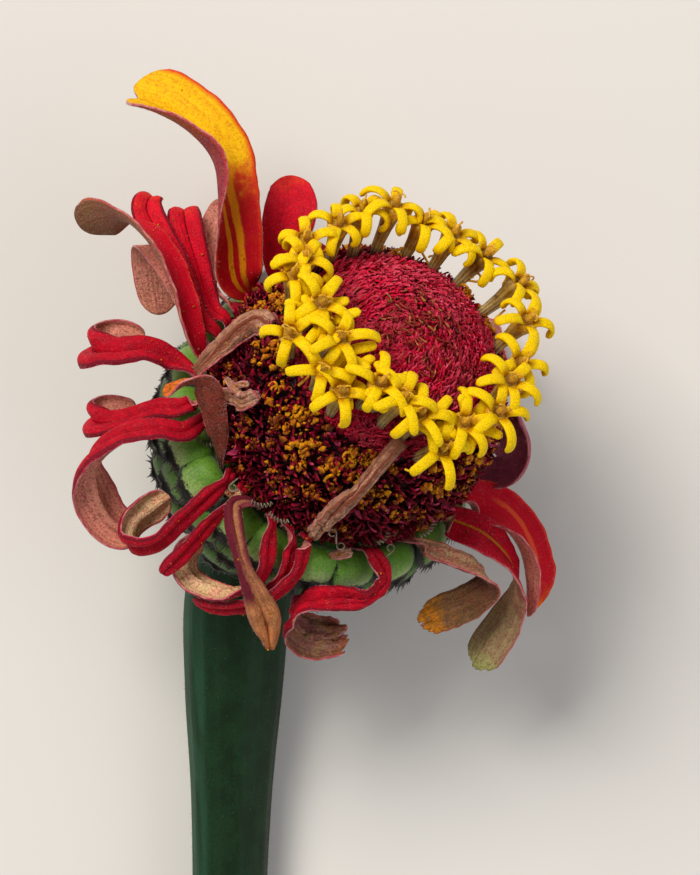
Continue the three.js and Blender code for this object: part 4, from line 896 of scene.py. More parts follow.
def strap(rows, crease=1.0, fold=0.0, wave=0.06, ridges=0.0, notch=0.0, ragged=0.0, crumple=0.0, seed=0,
          columns=PETAL_COLUMNS):
    """Front and back grids of a blade along rows of [x, y, z, facing x, y, z, width, curl]. Fold is the
    height of the two bands beside the midrib as a share of the width, and the other forms are in millimetres."""
    stations = smooth_rows(rows, 12)
    centre = stations[:, :3]
    way = unit(np.gradient(centre, axis=0))
    facing = stations[:, 3:6]
    facing = unit(facing - way * np.sum(facing * way, 1, keepdims=True))
    side = np.cross(way, facing)
    run = np.concatenate([[0], np.cumsum(np.linalg.norm(np.diff(centre, axis=0), axis=1))])
    total = run[-1]
    s = np.linspace(-1, 1, columns)
    end_width = stations[-1, 6]
    reach = 1 - 0.5 * end_width / total * (1 - np.sqrt(1 - 0.97 * s ** 2))
    reach -= notch / total * np.exp(-((s + 0.1) / 0.22) ** 2)
    for tear in range(TEARS):
        middle = 2 * (tear + draw(tear, seed + 2)) / TEARS - 1
        gap = np.exp(-((s - middle) / (0.04 + 0.07 * draw(tear, seed + 4))) ** 2)
        reach -= ragged / total * (0.2 + draw(tear, seed + 3)) * gap
    v = np.linspace(0, 1, PETAL_ROWS)[:, None] * reach
    at = v * total
    s = s * np.ones_like(v)

    def along(values):
        return np.stack([np.interp(at, run, values[:, k]) for k in range(values.shape[1])], -1)

    width = np.interp(at, run, stations[:, 6])
    curl = np.radians(np.interp(at, run, stations[:, 7]))
    size = np.abs(s)
    fine = (np.arange(12) + 0.5) / 12
    turn = curl[..., None] / 2 * (size[..., None] * fine) ** crease
    sideways = np.sign(s) * size * width / 2 * np.cos(turn).mean(-1)
    up = size * width / 2 * np.sin(turn).mean(-1)
    up = up + fold * width * (1 - (2 * size - 1) ** 2)
    opened = np.clip(at / 4, 0, 1)
    phase = seed * 1.7 + 2.3 * (s > 0)
    up = up + wave * opened * size ** 3 * (np.sin(at * 1.9 + phase) + 0.6 * np.sin(at * 4.3 + 2 * phase))
    up = up + ridges * opened * np.cos(s * math.pi * 3.5)
    crumple = crumple * (0.6 + 0.9 * v ** 4) * opened
    up = up + crumple * np.sin(5 * s + 1.7 * at + seed) * np.sin(1.1 * at - 3 * s + 2 * seed)
    up = up + 0.4 * crumple * np.sin(13 * s - 2.9 * at) * np.sin(3.7 * at + seed)
    middle = along(centre) + along(side) * sideways[..., None] + along(facing) * up[..., None]
    half_thick = surface_normals(middle) * (PETAL_THICKNESS * (1 - 0.5 * size ** 4))[..., None] / 2
    return middle + half_thick, middle - half_thick, v, s


petal_face, given, out = new_tree(
    "Shader", "Petal face",
    [("Along", "Vector"), ("Place", "Vector"), ("Root", "Color", (0.1, 0, 0, 1)), ("Body", "Color", (0.5, 0, 0, 1)),
     ("Turned", "Color", (0.5, 0, 0, 1)), ("Tip", "Color", (0.5, 0, 0, 1)), ("Margin", "Color", (0.6, 0.1, 0.1, 1)),
     ("Root end", "Float", 0.2), ("Turned from", "Float", 0.6), ("Tip from", "Float", 0.85),
     ("Margin width", "Float", 0.05), ("Veins", "Float", 0.25), ("Specks", "Float", 0.35),
     ("Mottle", "Color", (0.5, 0.3, 0.2, 1)), ("Mottle share", "Float", 0.0), ("Flecks", "Float", 0.0)],
    [("Colour", "Color"), ("Height", "Float"), ("Roughness", "Float")],
)
tree, place = petal_face, given["Place"]
across, along, _ = split(tree, given["Along"])
warped = calc(tree, "ADD", along, calc(tree, "MULTIPLY_ADD", noise(tree, place, 700.0, 3.0), 0.3, -0.15))
colour = mixed(tree, ramped(tree, warped, 0.0, given["Root end"]), given["Root"], given["Body"])
for label, band in (("Turned", 0.22), ("Tip", 0.14)):
    start = given[label + " from"]
    colour = mixed(tree, ramped(tree, warped, start, calc(tree, "ADD", start, band)), colour, given[label])
patches = ramped(tree, noise(tree, place, 1300.0, 5.0), 0.4, 0.62)
colour = mixed(tree, calc(tree, "MULTIPLY", patches, given["Mottle share"]), colour, given["Mottle"])
net = node(tree, "ShaderNodeTexVoronoi", {"Vector": place, "Scale": 3200.0}, feature="DISTANCE_TO_EDGE").outputs
shaded_creases = calc(tree, "MULTIPLY", ramped(tree, net["Distance"], 0.16, 0.02), given["Mottle share"])
vein_noise = noise(tree, stretched(tree, given["Along"], (9.0, 1.6, 1.0)), 2.2, 3.0)
vein = ramped(tree, calc(tree, "MULTIPLY_ADD", noise(tree, place, 3200.0, 3.0), 0.5, vein_noise), 0.6, 0.95)
dark = mixed(tree, 1.0, colour, (0.45, 0.4, 0.42, 1), "MULTIPLY")
colour = mixed(tree, calc(tree, "MULTIPLY", vein, given["Veins"]), colour, dark)
# Painted shade: the crease net is darkened here as well as sunk in the height
colour = mixed(tree, calc(tree, "MULTIPLY", shaded_creases, 0.4), colour, dark)
fleck_noise = noise(tree, place, 4800.0, 2.0)
flecks = ramped(tree, calc(tree, "MULTIPLY_ADD", vein_noise, 0.25, fleck_noise), 0.62, 0.76)
colour = mixed(tree, calc(tree, "MULTIPLY", flecks, given["Flecks"]), colour, given["Root"])
to_edge = calc(tree, "SUBTRACT", 0.5, calc(tree, "ABSOLUTE", calc(tree, "SUBTRACT", across, 0.5)))
ragged_edge = calc(tree, "MULTIPLY_ADD", fleck_noise, 0.06, calc(tree, "SUBTRACT", to_edge, 0.03))
colour = mixed(tree, ramped(tree, ragged_edge, given["Margin width"], 0.0), colour, given["Margin"])
# Pale specks are the papillae, each with a painted glint
grains = node(tree, "ShaderNodeTexVoronoi", {"Vector": place, "Scale": 6000.0}).outputs["Distance"]
glinting_specks = calc(tree, "MULTIPLY", ramped(tree, grains, 0.32, 0.12), given["Specks"])
glinting_specks = calc(tree, "MULTIPLY", glinting_specks, ramped(tree, noise(tree, place, 900.0, 2.0), 0.4, 0.65))
tree.links.new(mixed(tree, glinting_specks, colour, mixed(tree, 0.6, colour, "f4c8c8")), out["Colour"])
velvet = noise(tree, place, 7000.0, 2.0)
height = calc(tree, "ADD", calc(tree, "MULTIPLY", vein_noise, 0.5), calc(tree, "MULTIPLY", velvet, 0.3))
height = calc(tree, "SUBTRACT", height, calc(tree, "MULTIPLY", shaded_creases, 0.5))
tree.links.new(calc(tree, "ADD", height, calc(tree, "MULTIPLY", glinting_specks, 0.5)), out["Height"])
tree.links.new(ramped(tree, velvet, 0.25, 0.75, 0.5, 0.75), out["Roughness"])

petal_stripe, given, out = new_tree(
    "Shader", "Petal stripe",
    [("Along", "Vector"), ("Place", "Vector"), ("Colour", "Color", (0.5, 0, 0, 1)),
     ("Stripe", "Color", (0.9, 0.5, 0, 1)), ("Middle", "Float", 0.5), ("Half width", "Float", 0.06),
     ("From", "Float", 0.2), ("To", "Float", 0.7)],
    [("Colour", "Color")],
)
tree, half_width = petal_stripe, given["Half width"]
across, along, _ = split(tree, given["Along"])
wobble = calc(tree, "MULTIPLY_ADD", noise(tree, given["Place"], 900.0, 3.0), 0.06, -0.03)
off = calc(tree, "ABSOLUTE", calc(tree, "SUBTRACT", calc(tree, "ADD", across, wobble), given["Middle"]))
inside = ramped(tree, off, half_width, calc(tree, "MULTIPLY", half_width, 0.5))
started = ramped(tree, along, given["From"], calc(tree, "ADD", given["From"], 0.1))
ended = ramped(tree, along, given["To"], calc(tree, "SUBTRACT", given["To"], 0.1))
share = calc(tree, "MULTIPLY", inside, calc(tree, "MULTIPLY", started, ended))
tree.links.new(mixed(tree, share, given["Colour"], given["Stripe"]), out["Colour"])

# Each face finish of a petal is the colours and then the numbers in the order that these two lines give
FINISH_COLOURS = ("Root", "Body", "Turned", "Tip", "Margin", "Mottle")
FINISH_NUMBERS = ("Mottle share", "Flecks", "Specks", "Veins", "Root end", "Turned from", "Tip from", "Margin width")
FINISHES = {
    "crimson": ("640414 cc0024 d4002a d40430 cc2048 8c001c", 0.4, 0.3, 0.3, 0.25, 0.2, 0.6, 0.85, 0.05),
    "crimson_soft": ("8c041c e00428 e8102c ec3024 c00c2c a00020", 0.35, 0.25, 0.15, 0.25, 0.2, 0.6, 0.85, 0.05),
    "crimson_orange": ("8c041c cc0022 d40824 f07018 e43c2c 8c001c", 0.0, 0.0, 0.35, 0.25, 0.2, 0.6, 0.84, 0.05),
    "arched": ("b81c14 c4041c e85c10 fcc808 e03c14 e05010", 0.12, 0.3, 0.1, 0.2, 0.15, 0.42, 0.5, 0.075),
    "orange_tip": ("2c1014 9c3430 c84820 f87c14 c8603c 7c4430", 0.4, 0.5, 0.35, 0.25, 0.5, 0.55, 0.66, 0.05),
    # The dusty pink is lightened all over: painted light that makes up for the shade the undersides lie in
    "dusty": ("7c3034 e88c7c f09c88 e8947c d0545c d09474", 0.5, 0.5, 0.7, 0.4, 0.35, 0.55, 0.85, 0.05),
    "dusty_dark": ("301414 8c382c a04838 b85c34 b0504c 6c4830", 0.4, 0.5, 0.7, 0.4, 0.4, 0.6, 0.85, 0.05),
    "rosy": ("6c1430 a4344c a84c48 c06024 c83c40 b86038", 0.35, 0.5, 0.6, 0.3, 0.2, 0.5, 0.66, 0.05),
    # The mauve is lighter than the petal's own colour: painted light that makes up for the shade of the cone over it
    "mauve": ("942c50 c05c78 c86c84 b84c68 b85c74 a04c64", 0.5, 0.4, 0.5, 0.25, 0.2, 0.6, 0.85, 0.05),
    # The tan is lightened all over as well: painted light for undersides that lie in shade
    "tan": ("9c443c f4a888 f4c49c ecb088 d0404c dccc8c", 0.6, 0.6, 0.8, 0.4, 0.3, 0.5, 0.85, 0.05),
    "olive": ("6c2430 a85c50 b4906c acb464 a85c54 bcb078", 0.5, 0.4, 0.6, 0.35, 0.2, 0.55, 0.86, 0.05),
    "flag": ("7c2c38 b05c50 ac6c54 946848 c85c48 907048", 0.5, 0.4, 0.7, 0.35, 0.2, 0.5, 0.8, 0.05),
    "papery": ("8c1028 8c5444 a07c58 c47c40 b04c44 8c4c5c", 0.5, 0.5, 0.5, 0.6, 0.2, 0.66, 0.88, 0.05),
    "amber_tip": ("5c2828 844c3c 8c6440 e89014 a86044 6c5830", 0.5, 0.4, 0.4, 0.45, 0.2, 0.6, 0.82, 0.05),
    "peach": ("8c3c48 bc7c54 cc8850 c06c28 a86450 a05c3c", 0.4, 0.35, 0.35, 0.5, 0.2, 0.6, 0.86, 0.05),
    "straw": ("8c5c44 cc9478 d49c7c e4b498 9c6038 7c4c30", 0.5, 0.35, 0.5, 0.8, 0.2, 0.6, 0.85, 0.05),
}
# A stripe is its colour, its middle and half width across the petal, and where along the petal it starts and ends.
# The groove shade is painted shade: a dark line down the groove between two velvet bands, and one inside each margin.
GROOVE_SHADE = (("5c0012", 0.5, 0.05, -0.2, 0.95), ("7c1024", 0.05, 0.05, -0.2, 1.2), ("7c1024", 0.95, 0.05, -0.2, 1.2))
STRIPE_SOCKETS = ("Stripe", "Middle", "Half width", "From", "To")
petal_materials = {}


def petal_material(finish, stripes=()):
    """The material of a petal's face, made once for each finish with its stripes."""
    key = finish + "".join(f"_{middle}" for _, middle, *_ in stripes)
    if key not in petal_materials:
        codes, *numbers = FINISHES[finish]
        material, tree, shader = new_material(
            "Petal " + key, sheen_weight=0.02, sheen_tint=shade("ff6080"), specular_ior_level=0.14)
        sides = {"Along": node(tree, "ShaderNodeUVMap", uv_map="Along").outputs[0], "Place": object_place(tree)}
        look = placed(tree, petal_face, {
            **sides, **dict(zip(FINISH_COLOURS, map(shade, codes.split()))), **dict(zip(FINISH_NUMBERS, numbers))})
        colour = look["Colour"]
        for code, *form in stripes:
            stripe = dict(zip(STRIPE_SOCKETS, (shade(code), *form)))
            colour = placed(tree, petal_stripe, {**sides, "Colour": colour, **stripe})["Colour"]
        finished(tree, shader, look, 0.22, 0.7, colour, look["Height"])
        petal_materials[key] = material
    return petal_materials[key]


petal_rim = plain_skin("Petal rim", "b83048", "d88c84", 1500.0, 0.8, 9000.0, 0.05, sheen_weight=0.4)
# Rows run from the claw to the tip. A petal is crimson above and dusty below unless it says otherwise.
PETALS = [
    {"name": "petal_01_behind_dome", "claw": 60, "upper": "crimson_soft", "rows": [
        [-4.6, 12.8, 15.4, 0, -0.3, 0.95, 2.6, 30], [-4.2, 15.6, 16.0, 0.05, -0.15, 1, 4.2, 35],
        [-3.7, 18.2, 15.7, 0.05, 0.1, 1, 4.4, 35], [-3.9, 20.6, 14.4, 0, 0.5, 0.87, 2.6, 30]]},
    {"name": "petal_02_arched", "claw": 78, "upper": "arched", "under": "rosy", "crease": 0.6, "notch": 1.0,
     "wave": 0.05, "stripes": [("e8900c", 0.36, 0.07, 0.1, 0.6), ("e8900c", 0.6, 0.085, 0.12, 0.64)], "rows": [
        [-8.0, 12.0, 18.4, 0.15, -0.35, 0.9, 3.9, 60], [-8.4, 15.4, 20.0, 0.45, -0.2, 0.85, 4.8, 80],
        [-9.2, 18.6, 21.0, 0.8, -0.1, 0.6, 6.2, 120], [-9.9, 21.6, 21.4, 0.87, 0.15, 0.45, 7.0, 140],
        [-11.6, 24.0, 21.4, 0.6, 0.5, 0.62, 7.0, 135], [-14.3, 26.0, 21.0, 0.32, 0.62, 0.72, 6.8, 115],
        [-17.2, 27.2, 20.4, 0.2, 0.6, 0.78, 5.6, 85]]},
    {"name": "petal_03_behind_arch", "claw": 86.5, "rows": [
        [-9.9, 10.8, 16.6, 0.9, -0.1, 0.2, 1.8, 20], [-10.2, 13.6, 16.0, 0.5, 0.2, -0.8, 2.6, 30],
        [-9.9, 16.4, 15.0, 0, 0.3, -0.9, 2.8, 30], [-9.3, 18.6, 13.4, 0, 0.4, -0.9, 1.8, 30]]},
    {"name": "petal_04_blunt", "claw": 94, "upper": "crimson_soft", "fold": 0.1, "rows": [
        [-10.4, 9.6, 17.7, 0.1, -0.35, 0.93, 1.7, 30], [-11.6, 13.2, 17.8, 0.1, -0.25, 0.97, 2.4, 40],
        [-12.5, 16.2, 17.4, 0, 0.1, 1, 3.0, 40], [-12.7, 17.5, 16.4, 0, 0.75, 0.65, 2.6, 40],
        [-12.7, 17.2, 15.2, 0, 0.9, -0.4, 1.8, 30]]},
    {"name": "petal_05_hooked", "claw": 101.5, "upper": "crimson_soft", "fold": 0.1, "rows": [
        [-11.4, 8.8, 19.1, 0.3, -0.3, 0.9, 1.6, 30], [-13.0, 12.6, 19.0, 0.3, -0.1, 0.95, 2.1, 50],
        [-14.9, 15.8, 18.3, 0.2, 0, 1, 2.6, 60], [-15.8, 17.6, 17.5, 0.1, 0.3, 0.95, 2.8, 60],
        [-15.5, 18.6, 16.6, 0.2, 0.9, 0.3, 2.2, 50], [-15.0, 18.2, 15.8, 0.3, 0.8, -0.5, 1.6, 40]]},
    {"name": "petal_06_drooping", "claw": 109, "upper": "dusty", "rows": [
        [-12.2, 8.9, 17.4, 0.2, -0.2, 0.95, 1.4, 30], [-13.9, 12.4, 16.8, 0, 0.1, 1, 1.8, 30],
        [-15.3, 14.7, 15.0, 0, 0.8, 0.6, 3.0, 30], [-15.5, 13.6, 13.2, 0, 0.8, -0.6, 3.6, 30],
        [-15.1, 11.0, 12.0, 0, 0.35, -0.93, 3.6, 35], [-14.9, 9.0, 11.4, 0, 0.2, -0.98, 2.4, 30]]},
    {"name": "petal_07_flag", "claw": 116.5, "upper": "crimson_orange", "under": "flag", "rows": [
        [-11.9, 7.0, 21.8, 0.8, 0.1, 0.6, 2.8, 90], [-13.2, 11.0, 21.9, 0.85, 0.15, 0.5, 3.6, 110],
        [-14.9, 14.4, 21.5, 0.8, 0.45, 0.4, 4.0, 100], [-17.3, 16.6, 20.6, 0.5, 0.85, 0.05, 4.2, 60],
        [-19.6, 16.7, 19.3, 0.1, 0.75, -0.65, 4.8, 40], [-21.1, 16.0, 18.2, -0.2, 0.6, -0.8, 4.2, 30]]},
    {"name": "petal_08_looped", "claw": 125, "fold": 0.22, "rows": [
        [-13.2, 4.6, 20.6, 0.3, 0.6, 0.75, 2.2, 50], [-15.6, 5.6, 20.8, 0.05, 0.7, 0.7, 3.0, 60],
        [-18.2, 5.3, 20.3, -0.1, 0.75, 0.65, 3.6, 60], [-19.9, 5.6, 18.9, -0.75, 0.5, 0.45, 3.8, 60],
        [-19.6, 6.5, 17.2, -0.8, 0.2, -0.55, 3.4, 50], [-17.8, 7.0, 16.6, -0.1, 0.2, -0.95, 2.8, 40],
        [-16.0, 6.6, 16.6, 0, 0.1, -1, 1.8, 30]]},
    {"name": "petal_09_tucked", "claw": 131.5, "fold": 0.22, "rows": [
        [-12.8, 0.9, 21.6, 0.2, 0.6, 0.75, 2.0, 40], [-14.8, 0.7, 21.0, 0.1, 0.75, 0.65, 2.4, 50],
        [-17.2, -0.2, 20.2, 0, 0.8, 0.6, 2.8, 50], [-19.4, -0.5, 19.2, -0.6, 0.6, 0.5, 3.0, 50],
        [-20.0, 0.3, 17.6, -0.9, 0.2, -0.3, 3.0, 50], [-18.6, 0.8, 16.8, -0.3, 0.1, -0.95, 2.6, 40],
        [-16.6, 0.7, 16.6, 0, 0, -1, 1.8, 30]]},
    {"name": "petal_10_wide_bow", "claw": 139, "fold": 0.22, "rows": [
        [-12.4, -1.1, 23.6, 0.1, 0.6, 0.8, 2.0, 50], [-14.8, -1.1, 24.0, 0, 0.8, 0.6, 2.8, 70],
        [-17.6, -1.9, 23.4, -0.2, 0.85, 0.45, 3.6, 70], [-19.7, -3.8, 22.2, -0.75, 0.55, 0.0, 4.2, 60],
        [-19.7, -6.4, 20.8, -0.6, 0.15, -0.75, 4.4, 50], [-18.4, -8.6, 19.8, -0.4, -0.2, -0.9, 4.0, 40],
        [-16.3, -9.6, 19.2, -0.2, -0.3, -0.93, 2.8, 30]]},
    {"name": "petal_11_raised", "claw": 157, "upper": "orange_tip", "under": "dusty_dark", "rows": [
        [-9.6, -1.4, 26.4, 0.35, 0.45, -0.8, 1.8, 40], [-10.0, 0.9, 27.8, 0.3, 0.4, -0.85, 2.4, 50],
        [-10.6, 2.6, 28.6, 0.2, 0.6, -0.7, 2.6, 50], [-11.9, 3.0, 28.7, 0.1, 0.95, 0.1, 2.4, 50],
        [-14.0, 2.1, 28.0, 0.1, 0.6, 0.75, 1.4, 40]]},
    {"name": "petal_12_folded_back", "claw": 164.5, "under": "tan", "fold": 0.22, "rows": [
        [-10.3, -6.0, 24.3, 0.35, -0.5, 0.8, 1.8, 50], [-12.6, -7.9, 24.2, 0.45, -0.6, 0.65, 2.2, 60],
        [-14.8, -9.7, 23.6, 0.4, -0.75, 0.5, 2.8, 60], [-16.6, -9.9, 22.6, -0.45, -0.75, 0.3, 3.2, 50],
        [-16.4, -8.6, 21.8, -0.75, 0.3, -0.6, 3.4, 40], [-14.9, -7.3, 21.5, -0.5, 0.3, -0.8, 3.0, 30],
        [-13.7, -6.4, 21.4, -0.3, 0.2, -0.93, 1.8, 30]]},
    {"name": "petal_13_strap", "claw": 172, "under": "tan", "fold": 0.18, "rows": [
        [-10.0, -8.0, 23.4, 0.5, -0.5, 0.7, 1.5, 40], [-11.9, -10.1, 23.0, 0.5, -0.5, 0.7, 1.9, 50],
        [-13.5, -11.7, 23.2, 0.5, -0.5, 0.7, 2.0, 50], [-14.4, -12.6, 22.9, 0.4, -0.5, 0.7, 1.4, 40]]},
    {"name": "petal_14_rolled", "claw": 179.5, "upper": "peach", "under": "peach", "crumple": 0.2, "fold": 0.2,
     "slot": "petal_dried", "stripes": [("6c1c2c", 0.9, 0.42, -0.3, 0.78), ("84343c", 0.08, 0.26, -0.3, 0.6)],
     "rows": [
        [-8.2, -6.9, 25.6, 0, 0.3, 0.95, 1.4, -70], [-8.2, -8.9, 26.6, 0.1, 0.1, 1, 1.6, -90],
        [-7.4, -12.2, 26.4, 0.1, -0.1, 1, 1.3, -80], [-6.5, -14.4, 25.4, 0.1, -0.2, 1, 2.1, -60],
        [-5.7, -16.6, 24.2, 0.1, -0.3, 0.95, 2.7, -70], [-5.3, -18.9, 23.4, 0, -0.3, 0.95, 0.8, -60]]},
    {"name": "petal_15_hook", "claw": 188, "under": "tan", "fold": 0.18, "rows": [
        [-5.6, -9.8, 24.7, 0.7, -0.2, 0.65, 1.8, 50], [-6.0, -12.0, 24.2, 0.8, -0.4, 0.45, 2.2, 60],
        [-7.4, -13.7, 23.2, 0.4, -0.9, 0.2, 2.6, 60], [-9.8, -13.9, 22.3, -0.1, -0.85, -0.5, 3.0, 50],
        [-11.9, -12.9, 21.2, -0.6, -0.5, -0.6, 3.2, 40], [-12.2, -11.2, 21.3, -0.7, 0.1, -0.7, 3.0, 40],
        [-11.2, -9.9, 21.7, -0.4, 0.5, -0.75, 2.0, 30]]},
    {"name": "petal_16_inner_bow", "claw": 196, "fold": 0.22, "rows": [
        [-3.8, -10.6, 23.7, 0.7, -0.3, 0.65, 1.3, 40], [-4.4, -12.5, 23.1, 0.75, -0.5, 0.5, 1.6, 50],
        [-5.9, -14.0, 21.4, 0.6, -0.7, 0.45, 1.8, 50], [-7.2, -15.0, 19.7, 0.3, -0.85, 0.5, 1.8, 40],
        [-8.2, -15.9, 18.1, 0.1, -0.85, 0.5, 1.3, 30]]},
    {"name": "petal_17_outer_bow", "claw": 203.5, "fold": 0.22, "rows": [
        [-2.7, -10.6, 23.7, 0.7, -0.3, 0.65, 1.5, 40], [-3.4, -12.5, 23.3, 0.75, -0.5, 0.5, 1.8, 50],
        [-5.6, -14.5, 23.0, 0.6, -0.7, 0.45, 2.0, 50], [-8.0, -15.2, 22.0, 0.1, -0.85, 0.5, 2.2, 50],
        [-10.2, -15.3, 20.6, -0.2, -0.85, 0.5, 2.0, 40], [-11.6, -14.9, 19.6, -0.4, -0.8, 0.45, 1.2, 30]]},
    {"name": "petal_18_ragged", "claw": 229, "under": "papery", "ragged": 1.3, "crumple": 0.26, "columns": 41,
     "fold": 0.1, "rows": [
        [3.2, -11.2, 22.6, 0.6, -0.2, 0.75, 1.5, 40], [4.0, -13.0, 22.0, 0.7, -0.4, 0.6, 1.8, 40],
        [2.6, -14.6, 22.0, 0.3, -0.6, 0.7, 2.0, 40], [0.0, -14.8, 22.2, 0, 0.1, 1, 2.2, 50],
        [-2.2, -15.2, 21.8, -0.3, 0.7, 0.65, 2.8, 60], [-3.3, -16.8, 20.2, -0.85, 0.3, 0.1, 3.6, 60],
        [-2.2, -17.9, 19.2, -0.3, -0.3, -0.9, 4.2, 50], [-0.2, -18.0, 18.8, 0, -0.3, -0.95, 3.6, 50],
        [1.2, -17.6, 18.6, 0, -0.2, -1, 2.4, 40]]},
    {"name": "petal_19_bent_brown", "claw": 250, "upper": "tan", "under": "amber_tip", "crumple": 0.14, "ragged": 0.5,
     "columns": 31, "rows": [
        [7.4, -10.7, 19.4, 0.3, 0.6, 0.6, 2.0, 60], [9.6, -11.6, 19.6, 0.3, 0.65, 0.55, 2.6, 60],
        [11.8, -12.6, 19.2, 0.5, 0.7, 0.3, 3.0, 50], [12.8, -13.6, 18.2, 0.9, 0.2, -0.4, 3.4, 40],
        [11.4, -15.0, 17.2, 0.45, -0.3, -0.85, 3.4, 40], [9.2, -16.0, 16.8, 0.3, -0.3, -0.9, 3.4, 50],
        [7.0, -17.0, 16.6, 0.2, -0.4, -0.9, 2.6, 60]]},
    {"name": "petal_20_hanging", "claw": 268, "under": "olive", "fold": 0.05, "ragged": 0.35,
     "stripes": [("b06c0c", 0.42, 0.035, 0.1, 0.5)], "rows": [
        [9.6, -8.5, 17.6, 0.2, 0.3, 0.93, 2.8, 40], [12.2, -9.7, 18.0, 0.35, 0.35, 0.85, 3.5, 50],
        [14.3, -11.7, 17.6, 0.7, 0.5, 0.5, 3.4, 60], [15.2, -14.0, 16.4, 0.95, 0.15, -0.1, 3.8, 50],
        [14.3, -16.6, 15.0, 0.7, -0.2, -0.7, 4.0, 45], [12.9, -19.0, 13.8, 0.4, -0.3, -0.87, 3.9, 35],
        [11.8, -21.0, 13.0, 0.3, -0.3, -0.9, 2.9, 30]]},
    {"name": "petal_21_striped", "claw": 279, "upper": "crimson_orange", "crease": 0.6,
     "stripes": [("e4502c", 0.28, 0.05, 0.3, 1.1)], "rows": [
        [11.8, -7.0, 15.6, 0.3, 0.4, 0.86, 4.4, 60], [14.3, -8.6, 15.3, 0.55, 0.55, 0.62, 5.4, 100],
        [15.7, -10.8, 14.8, 0.85, 0.35, 0.42, 5.6, 130], [16.3, -13.3, 14.0, 0.93, 0.05, 0.4, 5.6, 130],
        [16.4, -15.2, 13.2, 0.93, -0.2, 0.35, 4.4, 110], [16.5, -16.4, 12.6, 0.9, -0.3, 0.35, 3.0, 90]]},
    {"name": "petal_22_cupped", "claw": 302, "upper": "mauve", "under": "mauve", "rows": [
        [12.6, -4.2, 13.4, -0.2, 0.2, 0.95, 2.2, 50], [14.9, -4.4, 14.8, -0.5, 0.4, 0.75, 4.0, 110],
        [15.8, -2.4, 14.8, -0.75, 0, 0.65, 5.0, 130], [15.4, -0.4, 14.2, -0.7, -0.3, 0.6, 4.0, 120],
        [14.8, 0.9, 13.6, -0.6, -0.4, 0.6, 2.0, 90]]},
    {"name": "petal_23_right_rest", "claw": 330, "rests": True, "rows": [
        [13.4, 4.2, 9.5, 0.8, 0.3, 0.5, 3.2, 40], [14.4, 5.8, 6.0, 0.95, 0.3, 0.1, 4.0, 40],
        [13.8, 6.8, 2.8, 0.9, 0.3, -0.4, 4.0, 40], [12.4, 7.2, 0.9, 0.3, 0.1, -0.95, 3.4, 40],
        [10.8, 7.4, 0.9, -0.1, 0, -1, 2.0, 30]]},
    {"name": "petal_24_back_right", "claw": 2, "rows": [
        [8.2, 10.2, 9.6, 0.5, 0.6, 0.6, 2.8, 40], [8.8, 10.8, 7.4, 0.6, 0.8, 0, 3.4, 40],
        [7.6, 10.2, 5.0, 0.3, 0.6, -0.7, 3.4, 40], [5.8, 9.0, 4.2, 0, 0.2, -1, 2.2, 30]]},
    {"name": "petal_25_back", "claw": 22, "rows": [
        [3.8, 12.6, 9.6, 0.2, 0.7, 0.6, 2.8, 40], [3.0, 13.4, 6.8, 0.1, 1, 0, 3.4, 40],
        [1.6, 12.6, 4.2, 0, 0.7, -0.7, 3.4, 40], [0.8, 11.4, 3.2, 0, 0.2, -1, 2.2, 30]]},
    {"name": "petal_26_left_rest", "claw": 40, "rests": True, "rows": [
        [-1.5, 13.8, 10.6, 0, 0.7, 0.7, 2.8, 40], [-4.5, 14.6, 7.0, -0.5, 0.8, 0.3, 3.6, 40],
        [-7.0, 13.8, 3.4, -0.6, 0.6, -0.4, 4.0, 40], [-8.2, 12.4, 0.9, -0.3, 0.2, -0.95, 3.4, 40],
        [-8.2, 10.8, 0.9, 0, -0.1, -1, 2.0, 30]]},
]
bed_points, bed_faces, bed_down, open_spots = [], [], [], []


def make_strap(petal, rows, number, slot, *nodes):
    """Hands over a petal or the like, and adds its skin to the bed for down and dust."""
    form = {k: petal[k] for k in FORMS if k in petal}
    front, back, v, s = strap(rows, seed=number, **form)
    if petal.get("rests"):
        for _ in range(SETTLING_STEPS):
            for row in rows[-RESTING_ROWS:]:
                row[2] -= min(front[..., 2].min(), back[..., 2].min())
            front, back, v, s = strap(rows, seed=number, **form)
    points, faces, kinds = closed_plate(front, back)
    made = new_object(petal["name"] + "_skin", to_frame(points), faces)
    with_uv(made, np.tile(np.stack([(s.ravel() + 1) / 2, v.ravel()], -1), (2, 1)))
    stripes = petal.get("stripes", GROOVE_SHADE if petal.get("fold", 0) > GROOVE_SHADE_FROM_FOLD else ())
    upper, under = petal.get("upper", "crimson"), petal.get("under", "dusty")
    for material in (petal_material(upper, stripes), petal_material(under), petal_rim):
        made.data.materials.append(material)
    made.data.polygons.foreach_set("material_index", kinds)
    bed_faces.append(faces + sum(map(len, bed_points)))
    bed_points.append(points)
    edge = np.clip((np.abs(s) - 0.8) * 5, 0, 1) + np.clip((v - 0.94) * 12, 0, 1)
    off_floor = np.clip((points[:, 2] - CLEAR_OF_FLOOR) * 4, 0, 1)
    bed_down.append(np.concatenate([(0.03 + edge).ravel(), (0.25 + edge).ravel()]) * off_floor)
    open_spots.append(front[8:, 3:-3].reshape(-1, 3))
    return hand_over(made, slot, *nodes)


for number, petal in enumerate(PETALS):
    make_strap(petal, claw_rows(petal["claw"]) + petal["rows"], number, petal.get("slot", "petal_red"), petal["name"])
